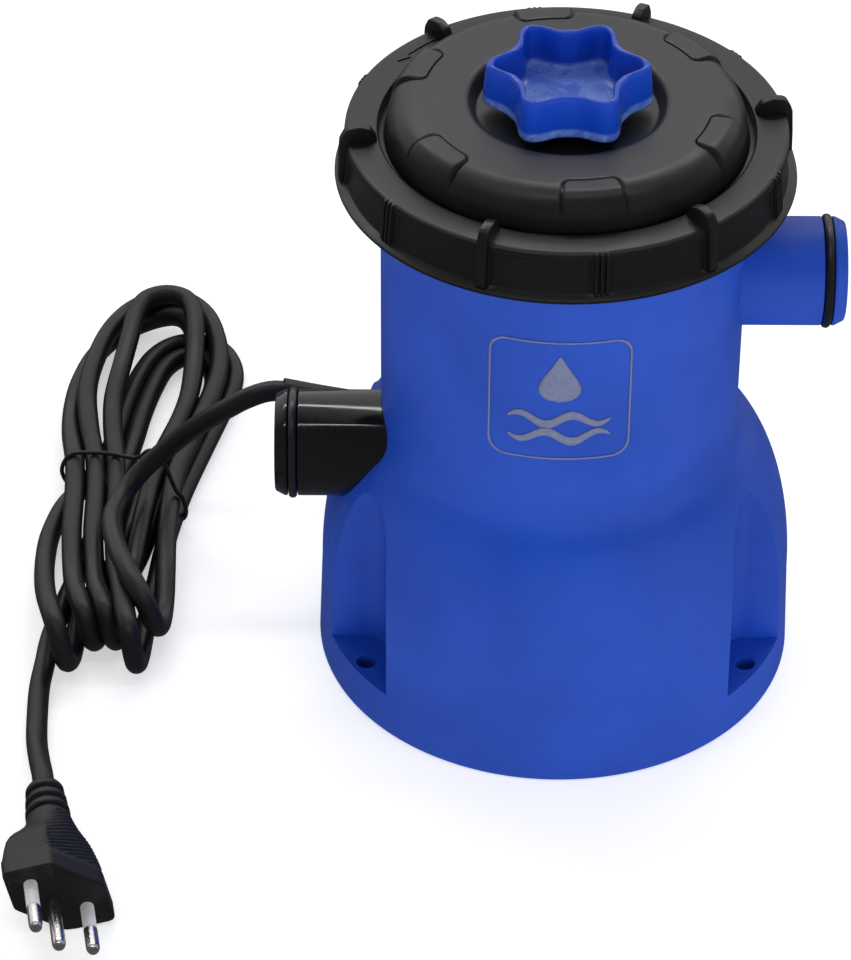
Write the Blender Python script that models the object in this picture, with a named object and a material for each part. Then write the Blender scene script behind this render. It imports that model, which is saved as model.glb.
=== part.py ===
"""Cartridge filter pump for a small above-ground pool.

The origin is on the body's axis at the floor. +Z is up, +X points out of the inlet spigot, and -Y is the
front. Lengths below are in millimetres and become metres where a mesh is made.
"""

from math import cos, pi, radians, sin, tau

import bmesh
import bpy
from mathutils import Matrix, Vector

MM = 0.001

# Driving dimensions
BASE_RADIUS = 72.5
NECK_RADIUS = 53.3
NECK_TOP = 179.3
SPIGOT_RADIUS = 16.0  # a 32 mm hose pushes over it
INLET_END = 82.3
OUTLET_END = 85.0
CORD_RADIUS = 3.25
KNOB_TOP = 208.1
GAP = 0.3  # between pieces that touch

# Housing
WALL = 2.6
DRAFT_TOP_RADIUS = BASE_RADIUS - 1.1  # where the drafted skirt turns into the shoulder
DRAFT_TOP = 30.0
SHOULDER_WIDTH = 21.7
SHOULDER_HEIGHT = 52.0
SHOULDER_END_ANGLE = radians(68.9)
NECK_BLEND_TOP = 87.5
NECK_INNER = NECK_RADIUS - 3.0
FLOOR_LOW = 88.5  # floor of the filter chamber
FLOOR_HIGH = 91.5
EYE_RADIUS = 12.0
LOCATOR_RADIUS = 18.0
LOCATOR_TOP = 98.0
POCKET_X = 52.0
POCKET_Y = 23.5
POCKET_FLOOR = 14.5
POCKET_TOP_FRONT = 65.0
POCKET_TOP_REAR = 42.0
POCKET_ROUND = 5.0
FOOT_HOLE = (57.5, 34.5)
BASE_SCREW_AT = (46.3, 30.5)
PUMP_SCREW_CIRCLE = 36.5
FOOT_HOLE_RADIUS = 3.1
INLET_HEIGHT = 136.3
OUTLET_HEIGHT = 74.4
OUTLET_Y = -3.6
BORE_RADIUS = 11.5
CHAMFER = 3.4
GROOVE_START = 3.8  # from the spigot's end
GROOVE_WIDTH = 3.0
GROOVE_RADIUS = SPIGOT_RADIUS - 2.4

# Pump
CHAMBER_RADIUS = 31.5
CHAMBER_LOW = 62.0
CHAMBER_TOP = 85.7
CHAMBER_WALL = 2.2
WELL_RADIUS = 15.6
WELL_BOTTOM = 12.0
SHAFT_RADIUS = 2.0
BUSH_BORE = 2.3

# Closure
COLLAR_LOW = 172.0
COLLAR_TOP = 187.0
COLLAR_OPENING = 53.8
COLLAR_INNER = 57.6
COLLAR_WALL = 63.5
COLLAR_RIM = 66.2
FIN_COUNT = 6
FIN_START = radians(7.5)
FIN_TOP = 191.8
COVER_TOP = 196.6
COVER_RADIUS = 51.9
RECESS_RADIUS = 26.5
RECESS_FLOOR = 192.0
STEM_RADIUS = 5.2
STEM_HOLE = 5.6

# Knob
KNOB_LOBES = 6
KNOB_OUTER = 24.3  # at its foot, and the walls lean in towards the rim
KNOB_VALLEY = 19.0
KNOB_LEAN = 1.1
KNOB_LOW = 195.1
KNOB_WALL = 2.4
KNOB_FLOOR = 1.7

# Filter cartridge
CARTRIDGE_RADIUS = 40.3
CARTRIDGE_LOW = 92.0
CARTRIDGE_TOP = 183.6
CAP_DEPTH = 5.0
PLEATS = 36

# Cord
GLAND = Vector((-56.5, 39.5, 54.0))
GLAND_DIRECTION = Vector((-22.5, -0.5, 6.0)).normalized()
SLEEVE_LENGTH = 26.0
HANK_LOW = 2.0
HANK_TOP = 19.6
HANK_OUTLINE = (
    (-122.0, -31.0),
    (-114.5, -17.0),
    (-112.5, 0.0),
    (-114.0, 30.0),
    (-113.6, 62.0),
    (-108.0, 80.0),
    (-101.5, 104.0),
    (-100.4, 120.0),
    (-103.0, 134.0),
    (-110.0, 147.0),
    (-118.0, 157.0),
    (-126.0, 161.2),
    (-138.0, 157.4),
    (-150.0, 145.0),
    (-157.4, 125.0),
    (-159.9, 104.0),
    (-159.2, 82.0),
    (-159.2, 62.0),
    (-162.9, 40.0),
    (-163.0, 20.0),
    (-160.6, -2.0),
    (-156.0, -19.5),
    (-150.0, -28.0),
    (-136.0, -32.5),
)
TIE_Y = 62.0
TIE_X = (-159.6, -113.2)
TIE_THICK = 1.2
LEAD_ROUTE = (
    (-82.9, 38.88, 61.02),
    (-86.6, 38.3, 61.8),
    (-90.5, 37.8, 61.4),
    (-94.2, 37.6, 59.9),
    (-97.6, 37.9, 57.8),
    (-100.5, 38.6, 55.3),
    (-103.4, 39.8, 52.5),
    (-106.4, 41.3, 49.3),
    (-109.2, 43.2, 45.9),
    (-114.4, 46.9, 39.0),
    (-119.2, 49.1, 32.9),
    (-124.0, 49.8, 27.5),
    (-127.6, 49.0, 24.2),
)
TAIL_ROUTE = (
    (-156.6, -24.6, 3.7),
    (-157.4, -35.0, 3.4),
    (-157.2, -47.0, 3.4),
    (-155.8, -60.0, 4.2),
    (-153.0, -72.0, 7.4),
    (-150.9, -81.6, 10.1),
    (-149.95, -88.3, 10.86),
)

# Plug
PLUG_FACE = Vector((-143.98, -136.38, 12.9))
PLUG_AZIMUTH = radians(7.1)
PLUG_TILT = radians(2.5)
PLUG_ROLL = radians(34.7)
PLUG_LENGTH = 47.8
PIN_PITCH = 19.0
PIN_LENGTH = 19.0
PIN_RADIUS = 2.0
EARTH_OFFSET = 3.0

bpy.context.scene.unit_settings.system = "METRIC"
for old in list(bpy.data.objects):
    bpy.data.objects.remove(old)


# Materials


def material(name, colour, roughness, metallic=0.0):
    made = bpy.data.materials.new(name)
    made.use_nodes = True
    shader = made.node_tree.nodes["Principled BSDF"]
    shader.inputs["Base Color"].default_value = (*colour, 1.0)
    shader.inputs["Roughness"].default_value = roughness
    shader.inputs["Metallic"].default_value = metallic
    return made


LOOKS = {
    "body_blue": ((0.022, 0.075, 0.42), 0.42, 0.0),
    "knob_blue": ((0.006, 0.045, 0.60), 0.22, 0.0),
    "lid_black": ((0.014, 0.014, 0.016), 0.42, 0.0),
    "pump_black": ((0.008, 0.008, 0.009), 0.18, 0.0),
    "seal_rubber": ((0.010, 0.010, 0.011), 0.60, 0.0),
    "filter_paper": ((0.80, 0.81, 0.78), 0.85, 0.0),
    "cap_vinyl": ((0.05, 0.18, 0.45), 0.50, 0.0),
    "core_white": ((0.75, 0.76, 0.76), 0.45, 0.0),
    "impeller_white": ((0.70, 0.71, 0.70), 0.40, 0.0),
    "ferrite": ((0.05, 0.05, 0.055), 0.50, 0.3),
    "steel": ((0.62, 0.63, 0.64), 0.25, 1.0),
    "bush_ceramic": ((0.85, 0.84, 0.80), 0.30, 0.0),
    "lamination": ((0.32, 0.32, 0.34), 0.45, 0.9),
    "coil_wrap": ((0.72, 0.55, 0.18), 0.50, 0.0),
    "cord_pvc": ((0.012, 0.012, 0.013), 0.48, 0.0),
    "nickel": ((0.72, 0.70, 0.66), 0.22, 1.0),
    "pin_sleeve": ((0.72, 0.72, 0.74), 0.45, 0.0),
}
MATERIALS = {name: material(name, *look) for name, look in LOOKS.items()}


# Shared modelling steps


def finish_mesh(name, bm, look, place=Matrix()):
    """Turns a bmesh in millimetres into an object in metres."""
    bmesh.ops.recalc_face_normals(bm, faces=bm.faces)
    bm.transform(Matrix.Scale(MM, 4) @ place)
    if place.determinant() < 0:
        bmesh.ops.reverse_faces(bm, faces=bm.faces)
    mesh = bpy.data.meshes.new(name)
    bm.to_mesh(mesh)
    bm.free()
    mesh.materials.append(MATERIALS[look])
    mesh.shade_smooth()
    mesh.set_sharp_from_angle(angle=radians(35))
    made = bpy.data.objects.new(name, mesh)
    bpy.context.scene.collection.objects.link(made)
    return made


def lathe(name, profile, look, steps=32, place=Matrix()):
    """Spins a closed (radius, height) profile about Z. One that starts and ends at radius 0 gets poles."""
    bm = bmesh.new()
    verts = [bm.verts.new((r, 0.0, z)) for r, z in profile]
    pairs = list(zip(verts, verts[1:]))
    if profile[0][0] > 0.0:
        pairs.append((verts[-1], verts[0]))
    edges = [bm.edges.new(pair) for pair in pairs]
    bmesh.ops.spin(
        bm, geom=verts + edges, cent=(0, 0, 0), axis=(0, 0, 1), angle=tau, steps=steps, use_merge=True
    )
    bmesh.ops.remove_doubles(bm, verts=bm.verts, dist=1e-4)
    return finish_mesh(name, bm, look, place)


def prism(name, loops, low, high, look, place=Matrix()):
    """Extrudes an outline, and any holes that follow it, from low to high."""
    bm = bmesh.new()
    edges = []
    for loop in loops:
        verts = [bm.verts.new((x, y, low)) for x, y in loop]
        edges += [bm.edges.new((a, b)) for a, b in zip(verts, verts[1:] + verts[:1])]
    bmesh.ops.triangle_fill(bm, edges=edges, use_beauty=True)
    grown = bmesh.ops.extrude_face_region(bm, geom=list(bm.faces))["geom"]
    lifted = [item for item in grown if isinstance(item, bmesh.types.BMVert)]
    bmesh.ops.translate(bm, verts=lifted, vec=(0, 0, high - low))
    return finish_mesh(name, bm, look, place)


def box(name, low, high, look, place=Matrix()):
    outline = [(low[0], low[1]), (high[0], low[1]), (high[0], high[1]), (low[0], high[1])]
    return prism(name, [outline], low[2], high[2], look, place)


def rod(name, radius, low, high, look, place=Matrix(), steps=16):
    return lathe(name, [(0, low), (radius, low), (radius, high), (0, high)], look, steps, place)


def arc(centre, radius, start, end, count):
    """Points on an arc, angles in radians."""
    turns = [start + (end - start) * i / count for i in range(count + 1)]
    return [(centre[0] + radius * cos(t), centre[1] + radius * sin(t)) for t in turns]


def combine(target, others, operation):
    """Adds a Boolean for each cutter or joined shape, which stops being a piece of its own."""
    for other in others:
        modifier = target.modifiers.new(other.name, "BOOLEAN")
        modifier.operation = operation
        modifier.solver = "EXACT"
        modifier.object = other
        other.hide_render = True
        other.display_type = "WIRE"
    return target


def facing(origin, direction, side=Vector((0, 0, 1))):
    """A frame at origin with its Z along direction, and its Y as near to side as it can be."""
    z = Vector(direction).normalized()
    x = Vector(side).cross(z).normalized()
    y = z.cross(x)
    frame = Matrix((x, y, z)).transposed().to_4x4()
    frame.translation = Vector(origin)
    return frame


def smooth_route(points, spacing):
    """Points every spacing millimetres along a centripetal spline through the given ones."""
    route = [Vector(p) for p in points]
    route = [2 * route[0] - route[1]] + route + [2 * route[-1] - route[-2]]
    fine = []
    for a, b, c, d in zip(route, route[1:], route[2:], route[3:]):
        steps = 24
        for i in range(steps):
            t = i / steps
            fine.append(
                0.5
                * (
                    2 * b
                    + (c - a) * t
                    + (2 * a - 5 * b + 4 * c - d) * t**2
                    + (3 * b - a - 3 * c + d) * t**3
                )
            )
    fine.append(route[-2])
    kept = [fine[0]]
    walked = 0.0
    for before, after in zip(fine, fine[1:]):
        walked += (after - before).length
        if walked >= spacing:
            kept.append(after)
            walked = 0.0
    if (kept[-1] - fine[-1]).length < spacing / 2:
        kept.pop()
    return kept + [fine[-1]]


def tube(name, points, radius, look, resolution=3):
    curve = bpy.data.curves.new(name, "CURVE")
    curve.dimensions = "3D"
    curve.bevel_depth = radius * MM
    curve.bevel_resolution = resolution
    curve.use_fill_caps = True
    spline = curve.splines.new("POLY")
    spline.points.add(len(points) - 1)
    for point, place in zip(spline.points, points):
        point.co = (*(Vector(place) * MM), 1.0)
    curve.materials.append(MATERIALS[look])
    made = bpy.data.objects.new(name, curve)
    bpy.context.scene.collection.objects.link(made)
    return made


# Housing


def shoulder(inset, count):
    """The drafted skirt and the elliptical shoulder, from the floor up, inset by a wall thickness."""
    centre = DRAFT_TOP_RADIUS - SHOULDER_WIDTH
    width = SHOULDER_WIDTH - inset
    height = SHOULDER_HEIGHT - inset
    turns = [SHOULDER_END_ANGLE * i / count for i in range(count + 1)]
    curve = [(centre + width * cos(t), DRAFT_TOP + height * sin(t)) for t in turns]
    return [(BASE_RADIUS - inset, 0.0)] + curve


def neck_blend(count):
    """The hollow curve that takes the shoulder into the neck."""
    start = shoulder(0.0, 1)[-1]
    middle = (NECK_RADIUS, start[1] + 3.9)
    end = (NECK_RADIUS, NECK_BLEND_TOP)
    made = []
    for i in range(1, count + 1):
        t = i / count
        weights = ((1 - t) ** 2, 2 * t * (1 - t), t**2)
        made.append(tuple(sum(w * p[k] for w, p in zip(weights, (start, middle, end))) for k in (0, 1)))
    return made


def shell_profile():
    outer = shoulder(0.0, 6) + neck_blend(2)
    neck = [(NECK_RADIUS, NECK_TOP - 0.5), (NECK_RADIUS - 0.5, NECK_TOP), (NECK_INNER, NECK_TOP)]
    chamber = [
        (NECK_INNER, FLOOR_HIGH),
        (LOCATOR_RADIUS, FLOOR_HIGH),
        (LOCATOR_RADIUS - 0.6, LOCATOR_TOP),
        (LOCATOR_RADIUS - 2.6, LOCATOR_TOP),
        (LOCATOR_RADIUS - 3.0, FLOOR_HIGH),
        (EYE_RADIUS, FLOOR_HIGH),
        (EYE_RADIUS, FLOOR_LOW),
        (NECK_INNER, FLOOR_LOW),
        (NECK_INNER, 79.0),
    ]
    inner = list(reversed([p for p in shoulder(WALL, 5) if p[0] > NECK_INNER + 2.5]))
    return outer + neck + chamber + inner


def pump_screw_frame(i):
    """The axis of one of the four screws that hold the pump body up under the chamber floor."""
    turn = Matrix.Rotation(pi / 4 + i * pi / 2, 4, "Z")
    return turn @ Matrix.Translation((PUMP_SCREW_CIRCLE, 0, 0))


def spigot_profile(start, end):
    """Half section of a hose spigot: a straight barrel, an O-ring groove and a chamfered tip."""
    groove_far = end - GROOVE_START
    groove_near = groove_far - GROOVE_WIDTH
    return [
        (0.0, start),
        (SPIGOT_RADIUS, start),
        (SPIGOT_RADIUS, groove_near),
        (GROOVE_RADIUS, groove_near),
        (GROOVE_RADIUS, groove_far),
        (SPIGOT_RADIUS, groove_far),
        (SPIGOT_RADIUS, end - CHAMFER),
        (SPIGOT_RADIUS - 1.3, end),
        (0.0, end),
    ]


def pocket_outline(sx, sy):
    """Plan of one foot pocket, with a rounded inner corner."""
    corner = arc((POCKET_X + POCKET_ROUND, POCKET_Y + POCKET_ROUND), POCKET_ROUND, pi, 1.5 * pi, 4)
    outline = corner + [(90.0, POCKET_Y), (90.0, 90.0), (POCKET_X, 90.0)]
    return [(sx * x, sy * y) for x, y in outline]


def housing():
    body = lathe("housing", shell_profile(), "body_blue", 44)
    inside = shoulder(0.4, 6)
    envelope_profile = [(0.0, -5.0), (BASE_RADIUS - 0.4, -5.0), *inside, (0.0, 70.0)]
    inlet = facing((0, 0, INLET_HEIGHT), (1, 0, 0))
    outlet = facing((0, OUTLET_Y, OUTLET_HEIGHT), (-1, 0, 0))
    joined = [lathe("inlet_barrel", spigot_profile(50.6, INLET_END), "body_blue", 28, inlet)]
    cut = [
        rod("inlet_bore", BORE_RADIUS, 40.0, 90.0, "body_blue", inlet),
        rod("outlet_hole", SPIGOT_RADIUS + 0.9, 53.8, 95.0, "body_blue", outlet, 28),
        rod("outlet_neck_hole", 10.7, 42.0, 56.0, "body_blue", outlet),
        rod("gland_hole", 5.8, -18.0, 12.0, "body_blue", facing(GLAND, GLAND_DIRECTION)),
    ]
    for sx in (-1, 1):
        for sy in (-1, 1):
            tag = f"{'inlet' if sx > 0 else 'outlet'}_{'rear' if sy > 0 else 'front'}"
            top = POCKET_TOP_REAR if sy > 0 else POCKET_TOP_FRONT
            xs = sorted((sx * (POCKET_X - WALL), sx * 80.0))
            ys = sorted((sy * (POCKET_Y - WALL), sy * 80.0))
            low, high = (xs[0], ys[0], 0.2), (xs[1], ys[1], top + WALL)
            block = box(f"pocket_walls_{tag}", low, high, "body_blue")
            envelope = lathe(f"pocket_envelope_{tag}", envelope_profile, "body_blue", 44)
            joined.append(combine(block, [envelope], "INTERSECT"))
            boss_at = Matrix.Translation((sx * BASE_SCREW_AT[0], sy * BASE_SCREW_AT[1], 0.0))
            joined.append(rod(f"screw_boss_{tag}", 4.6, 4.4, 16.0, "body_blue", boss_at, 10))
            cut.append(prism(f"pocket_{tag}", [pocket_outline(sx, sy)], POCKET_FLOOR, top, "body_blue"))
            hole_at = Matrix.Translation((sx * FOOT_HOLE[0], sy * FOOT_HOLE[1], 0.0))
            cut.append(rod(f"foot_hole_{tag}", FOOT_HOLE_RADIUS, -2.0, 20.0, "body_blue", hole_at, 14))
            cut.append(rod(f"pilot_{tag}", 1.9, 0.0, 14.0, "body_blue", boss_at, 9))
    for i in range(4):
        joined.append(rod(f"pump_boss_{i}", 4.2, 86.1, 89.5, "body_blue", pump_screw_frame(i), 10))
        cut.append(rod(f"pump_pilot_{i}", 1.8, 80.0, 90.2, "body_blue", pump_screw_frame(i), 7))
    combine(body, joined, "UNION")
    combine(body, cut, "DIFFERENCE")


def base_plate():
    plate = lathe("base_plate", [(0, 1.2), (69.2, 1.2), (69.2, 3.8), (0, 3.8)], "lid_black", 44)
    cut = []
    for sx in (-1, 1):
        for sy in (-1, 1):
            xs = sorted((sx * (POCKET_X - WALL - 0.4), sx * 80.0))
            ys = sorted((sy * (POCKET_Y - WALL - 0.4), sy * 80.0))
            cut.append(box(f"foot_notch_{sx}_{sy}", (xs[0], ys[0], 0.0), (xs[1], ys[1], 6.0), "lid_black"))
            at = Matrix.Translation((sx * BASE_SCREW_AT[0], sy * BASE_SCREW_AT[1], 0.0))
            cut.append(rod(f"plate_hole_{sx}_{sy}", 1.9, 0.0, 6.0, "lid_black", at, 9))
            cut.append(rod(f"plate_sink_{sx}_{sy}", 3.5, 0.0, 2.5, "lid_black", at, 11))
    posts = [
        box(f"stator_post_{i}", (x - 4, y - 4, 3.0), (x + 4, y + 4, 21.7), "lid_black")
        for i, (x, y) in enumerate(((-18, -14), (18, -14), (-18, 52), (18, 52)))
    ]
    combine(plate, posts, "UNION")
    combine(plate, cut, "DIFFERENCE")


def screw(name, head_radius, head_low, head_high, shank_radius, shank_high, place):
    profile = [
        (0, head_low),
        (head_radius, head_low),
        (head_radius, head_high),
        (shank_radius, head_high),
        (shank_radius, shank_high - 1.2),
        (0, shank_high),
    ]
    return lathe(name, profile, "steel", 10, place)


def fasteners():
    x, y = BASE_SCREW_AT
    for i, at in enumerate(((-x, -y), (x, -y), (x, y), (-x, y)), 1):
        screw(f"base_screw_{i}", 3.1, 0.6, 2.2, 1.5, 12.8, Matrix.Translation((*at, 0)))
    for i in range(4):
        screw(f"pump_screw_{i + 1}", 2.9, 79.0, 80.9, 1.4, 89.6, pump_screw_frame(i))


# Pump and motor


def pump_body():
    well_inner = WELL_RADIUS - 2.0
    chamber_inner = CHAMBER_RADIUS - CHAMBER_WALL
    cup = [
        (0, WELL_BOTTOM),
        (WELL_RADIUS, WELL_BOTTOM),
        (WELL_RADIUS, CHAMBER_LOW),
        (CHAMBER_RADIUS, CHAMBER_LOW),
        (CHAMBER_RADIUS, CHAMBER_TOP),
        (chamber_inner, CHAMBER_TOP),
        (chamber_inner, CHAMBER_LOW + 2.4),
        (well_inner, CHAMBER_LOW + 2.4),
        (well_inner, WELL_BOTTOM + 2.2),
        (0, WELL_BOTTOM + 2.2),
    ]
    body = lathe("pump_body", cup, "pump_black", 32)
    outlet = facing((0, OUTLET_Y, OUTLET_HEIGHT), (-1, 0, 0))
    barrel = spigot_profile(54.6, OUTLET_END)
    neck = [(0, 30.3), (10.0, 30.3), (10.0, 55.5), (0, 55.5)]
    bore = [(0, 24.0), (7.5, 24.0), (7.5, 52.0), (BORE_RADIUS, 60.0), (BORE_RADIUS, 90.0), (0, 90.0)]
    joined = [
        lathe("outlet_barrel", barrel, "pump_black", 28, outlet),
        lathe("outlet_neck", neck, "pump_black", 18, outlet),
    ]
    cut = [lathe("outlet_bore", bore, "pump_black", 20, outlet)]
    for i in range(4):
        at = pump_screw_frame(i)
        turn = Matrix.Rotation(pi / 4 + i * pi / 2, 4, "Z")
        joined.append(rod(f"pump_ear_{i}", 4.2, 81.2, CHAMBER_TOP - 0.3, "pump_black", at, 12))
        web_top = CHAMBER_TOP - 0.8
        joined.append(box(f"pump_web_{i}", (30.4, -3.0, 81.7), (35.0, 3.0, web_top), "pump_black", turn))
        cut.append(rod(f"pump_ear_hole_{i}", 1.8, 78.0, 88.0, "pump_black", at, 9))
    combine(body, joined, "UNION")
    combine(body, cut, "DIFFERENCE")


def volute_cover():
    ring = [(EYE_RADIUS, 86.0), (30.8, 86.0), (30.8, 87.2), (EYE_RADIUS, 87.2)]
    hub = [(4.6, 82.4), (6.6, 82.4), (6.6, 87.2), (4.6, 87.2)]
    body = lathe("volute_cover", ring, "pump_black", 32)
    joined = [lathe("bush_hub", hub, "pump_black", 16)]
    for i in range(3):
        turn = Matrix.Rotation(i * tau / 3, 4, "Z")
        joined.append(box(f"spoke_{i}", (5.6, -1.0, 84.6), (14.0, 1.0, 87.0), "pump_black", turn))
    combine(body, joined, "UNION")


def rotor():
    rod("rotor_shaft", SHAFT_RADIUS, WELL_BOTTOM + 2.5, 86.4, "steel", steps=12)
    low_bush = [(BUSH_BORE, 14.5), (5.0, 14.5), (5.0, 19.0), (BUSH_BORE, 19.0)]
    high_bush = [(BUSH_BORE, 82.6), (4.3, 82.6), (4.3, 86.9), (BUSH_BORE, 86.9)]
    lathe("shaft_bush_lower", low_bush, "bush_ceramic", 14)
    lathe("shaft_bush_upper", high_bush, "bush_ceramic", 14)
    lathe("rotor_magnet", [(2.4, 19.6), (12.6, 19.6), (12.6, 57.2), (2.4, 57.2)], "ferrite", 20)
    hub = [
        (2.4, 57.5),
        (6.5, 57.5),
        (6.5, 66.2),
        (21.5, 66.2),
        (21.5, 68.0),
        (6.5, 68.4),
        (5.6, 81.8),
        (2.4, 81.8),
    ]
    wheel = lathe("impeller", hub, "impeller_white", 20)
    blades = []
    for i in range(6):
        turn = Matrix.Rotation(i * tau / 6, 4, "Z")
        inner_face = arc((13.0, -9.0), 10.5, radians(20), radians(140), 4)
        outer_face = arc((13.0, -9.0), 12.1, radians(140), radians(20), 4)
        blade = prism(f"blade_{i}", [inner_face + outer_face], 67.0, 79.5, "impeller_white", turn)
        blades.append(blade)
    combine(wheel, blades, "UNION")


def stator():
    """A C-shaped core round the rotor's well, with a coil on each leg."""
    bore = arc((0, 0), WELL_RADIUS + 0.4, radians(-84), radians(264), 20)
    outline = [(1.7, -24.0), (26.0, -24.0), (26.0, 58.0), (-26.0, 58.0), (-26.0, -24.0), (-1.7, -24.0)]
    core = prism("stator_core", [outline + list(reversed(bore))], 22.0, 42.0, "lamination")
    window = box("stator_window", (-10.0, 12.0, 20.0), (10.0, 46.0, 44.0), "lamination")
    combine(core, [window], "DIFFERENCE")
    for name, side in (("coil_left", -1), ("coil_right", 1)):
        hole = [(9.6, 21.6), (26.4, 21.6), (26.4, 42.4), (9.6, 42.4)]
        rim = rounded_outline((0.6, 13.0), (35.2, 51.0), 6.0)
        loops = [rim, hole]
        # The coil's outline lies in the XZ plane and is drawn out along Y, so its frame has Z along +Y.
        frame = Matrix(((side, 0, 0, 0), (0, 0, 1, 0), (0, 1, 0, 0), (0, 0, 0, 1)))
        prism(name, loops, 23.0, 44.0, "coil_wrap", frame)


def rounded_outline(low, high, radius):
    corners = (
        ((low[0] + radius, low[1] + radius), pi),
        ((high[0] - radius, low[1] + radius), 1.5 * pi),
        ((high[0] - radius, high[1] - radius), 0.0),
        ((low[0] + radius, high[1] - radius), 0.5 * pi),
    )
    made = []
    for centre, start in corners:
        made += arc(centre, radius, start, start + pi / 2, 4)
    return made


# Seals


def seal_ring(name, outer, low, high, place, inner=GROOVE_RADIUS + GAP):
    """A soft ring with a rounded outer face."""
    middle = (low + high) / 2
    half = (high - low) / 2
    crown = []
    for t in (-1.3, 0.0, 1.3):
        crown.append((outer - half * 0.45 * (1 - cos(t)), middle + half * sin(t)))
    return lathe(name, [(inner, low), *crown, (inner, high)], "seal_rubber", 28, place)


def seals():
    inlet = facing((0, 0, INLET_HEIGHT), (1, 0, 0))
    outlet = facing((0, OUTLET_Y, OUTLET_HEIGHT), (-1, 0, 0))
    for name, end, place in (("inlet_oring", INLET_END, inlet), ("outlet_oring", OUTLET_END, outlet)):
        far = end - GROOVE_START - GAP
        near = end - GROOVE_START - GROOVE_WIDTH + GAP
        seal_ring(name, SPIGOT_RADIUS + 0.6, near, far, place)
    seal_ring("cover_gasket", 55.6, NECK_TOP + GAP, 181.0, Matrix(), 50.6)
    seal_ring("air_valve_oring", 8.6, RECESS_FLOOR + GAP, 194.6, Matrix(), 5.9)
    lathe("pump_gasket", [(25.5, 87.5), (30.6, 87.5), (30.6, 88.2), (25.5, 88.2)], "seal_rubber", 28)


# Lid and lock ring


def lock_collar():
    wall = [
        (COLLAR_RIM, COLLAR_LOW),
        (COLLAR_RIM, COLLAR_LOW + 1.8),
        (64.3, COLLAR_LOW + 2.5),
        (COLLAR_WALL, COLLAR_TOP - 1.0),
        (COLLAR_WALL - 0.9, COLLAR_TOP),
        (COLLAR_OPENING, COLLAR_TOP),
        (COLLAR_OPENING, COLLAR_TOP - 3.0),
        (COLLAR_INNER, COLLAR_TOP - 3.0),
        (COLLAR_INNER, COLLAR_LOW),
    ]
    ring = lathe("lock_collar", wall, "lid_black", 48)
    fin = [
        (54.4, COLLAR_TOP - 1.5),
        (54.4, COLLAR_TOP + 0.6),
        (56.2, FIN_TOP - 1.2),
        (58.6, FIN_TOP),
        (62.0, FIN_TOP),
        (64.2, FIN_TOP - 1.3),
        (65.3, COLLAR_TOP - 0.5),
        (65.5, COLLAR_LOW + 1.0),
        (61.8, COLLAR_LOW + 1.0),
        (61.8, COLLAR_TOP - 1.5),
    ]
    fins = []
    for i in range(FIN_COUNT):
        turn = Matrix.Rotation(FIN_START + i * tau / FIN_COUNT, 4, "Z")
        upright = Matrix(((1, 0, 0, 0), (0, 0, -1, 0), (0, 1, 0, 0), (0, 0, 0, 1)))
        fins.append(prism(f"fin_{i}", [fin], -1.5, 1.5, "lid_black", turn @ upright))
    combine(ring, fins, "UNION")


def cover():
    shoulder_arc = arc((COVER_RADIUS - 9.0, COVER_TOP - 8.4), 8.4, 0.0, pi / 2, 4)
    outer = [(r + (0.4 if z < 189 else 0.0), z) for r, z in shoulder_arc]
    profile = [
        (STEM_HOLE, RECESS_FLOOR),
        (STEM_HOLE, 184.0),
        (8.8, 184.0),
        (8.8, RECESS_FLOOR - 2.8),
        (RECESS_RADIUS - 2.0, RECESS_FLOOR - 2.8),
        (RECESS_RADIUS + 2.6, COVER_TOP - 2.8),
        (40.0, COVER_TOP - 2.8),
        (46.8, COVER_TOP - 6.5),
        (48.0, 184.5),
        (47.4, 176.0),
        (49.8, 176.0),
        (49.8, 181.3),
        (56.4, 181.3),
        (56.4, 183.7),
        (COVER_RADIUS, 183.7),
        *outer,
        (RECESS_RADIUS + 2.0, COVER_TOP),
        (RECESS_RADIUS, RECESS_FLOOR),
    ]
    lathe("cover", profile, "lid_black", 40)


def lobed(inset):
    """Outline of the star knob: six rounded lobes with broad, shallow hollows between them."""
    count = 12 * KNOB_LOBES
    made = []
    for i in range(count):
        turn = tau * i / count
        wave = 0.5 + 0.5 * cos(KNOB_LOBES * turn)
        radius = KNOB_VALLEY + (KNOB_OUTER - KNOB_VALLEY) * wave**1.6 - inset
        made.append((radius * cos(turn), radius * sin(turn)))
    return made


def loft(name, low, high, bottom, top, look):
    """A closed body between two outlines with the same number of points."""
    bm = bmesh.new()
    rings = [[bm.verts.new((*p, z)) for p in outline] for outline, z in ((low, bottom), (high, top))]
    for i in range(len(low)):
        k = (i + 1) % len(low)
        bm.faces.new((rings[0][i], rings[0][k], rings[1][k], rings[1][i]))
    bm.faces.new(rings[0])
    bm.faces.new(rings[1])
    return finish_mesh(name, bm, look)


def air_valve_knob():
    floor = KNOB_LOW + KNOB_FLOOR
    over = KNOB_TOP + 5.0
    body = loft("air_valve_knob", lobed(0.0), lobed(KNOB_LEAN), KNOB_LOW, KNOB_TOP, "knob_blue")
    # The hollow narrows by 0.08 mm for each millimetre down, and passes the rim at the wall's thickness.
    wide = lobed(KNOB_WALL + KNOB_LEAN - 0.08 * (over - KNOB_TOP))
    narrow = lobed(KNOB_WALL + KNOB_LEAN + 0.08 * (KNOB_TOP - floor))
    cup = loft("knob_hollow", narrow, wide, floor, over, "knob_blue")
    stem = [(0, 178.0), (STEM_RADIUS - 1, 178.0), (STEM_RADIUS, 179.5), (STEM_RADIUS, 194.9), (9.8, 194.9)]
    stem += [(9.8, KNOB_LOW + 1.0), (0, KNOB_LOW + 1.0)]
    combine(body, [lathe("knob_stem", stem, "knob_blue", 16)], "UNION")
    combine(body, [cup], "DIFFERENCE")


# Filter cartridge


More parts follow.
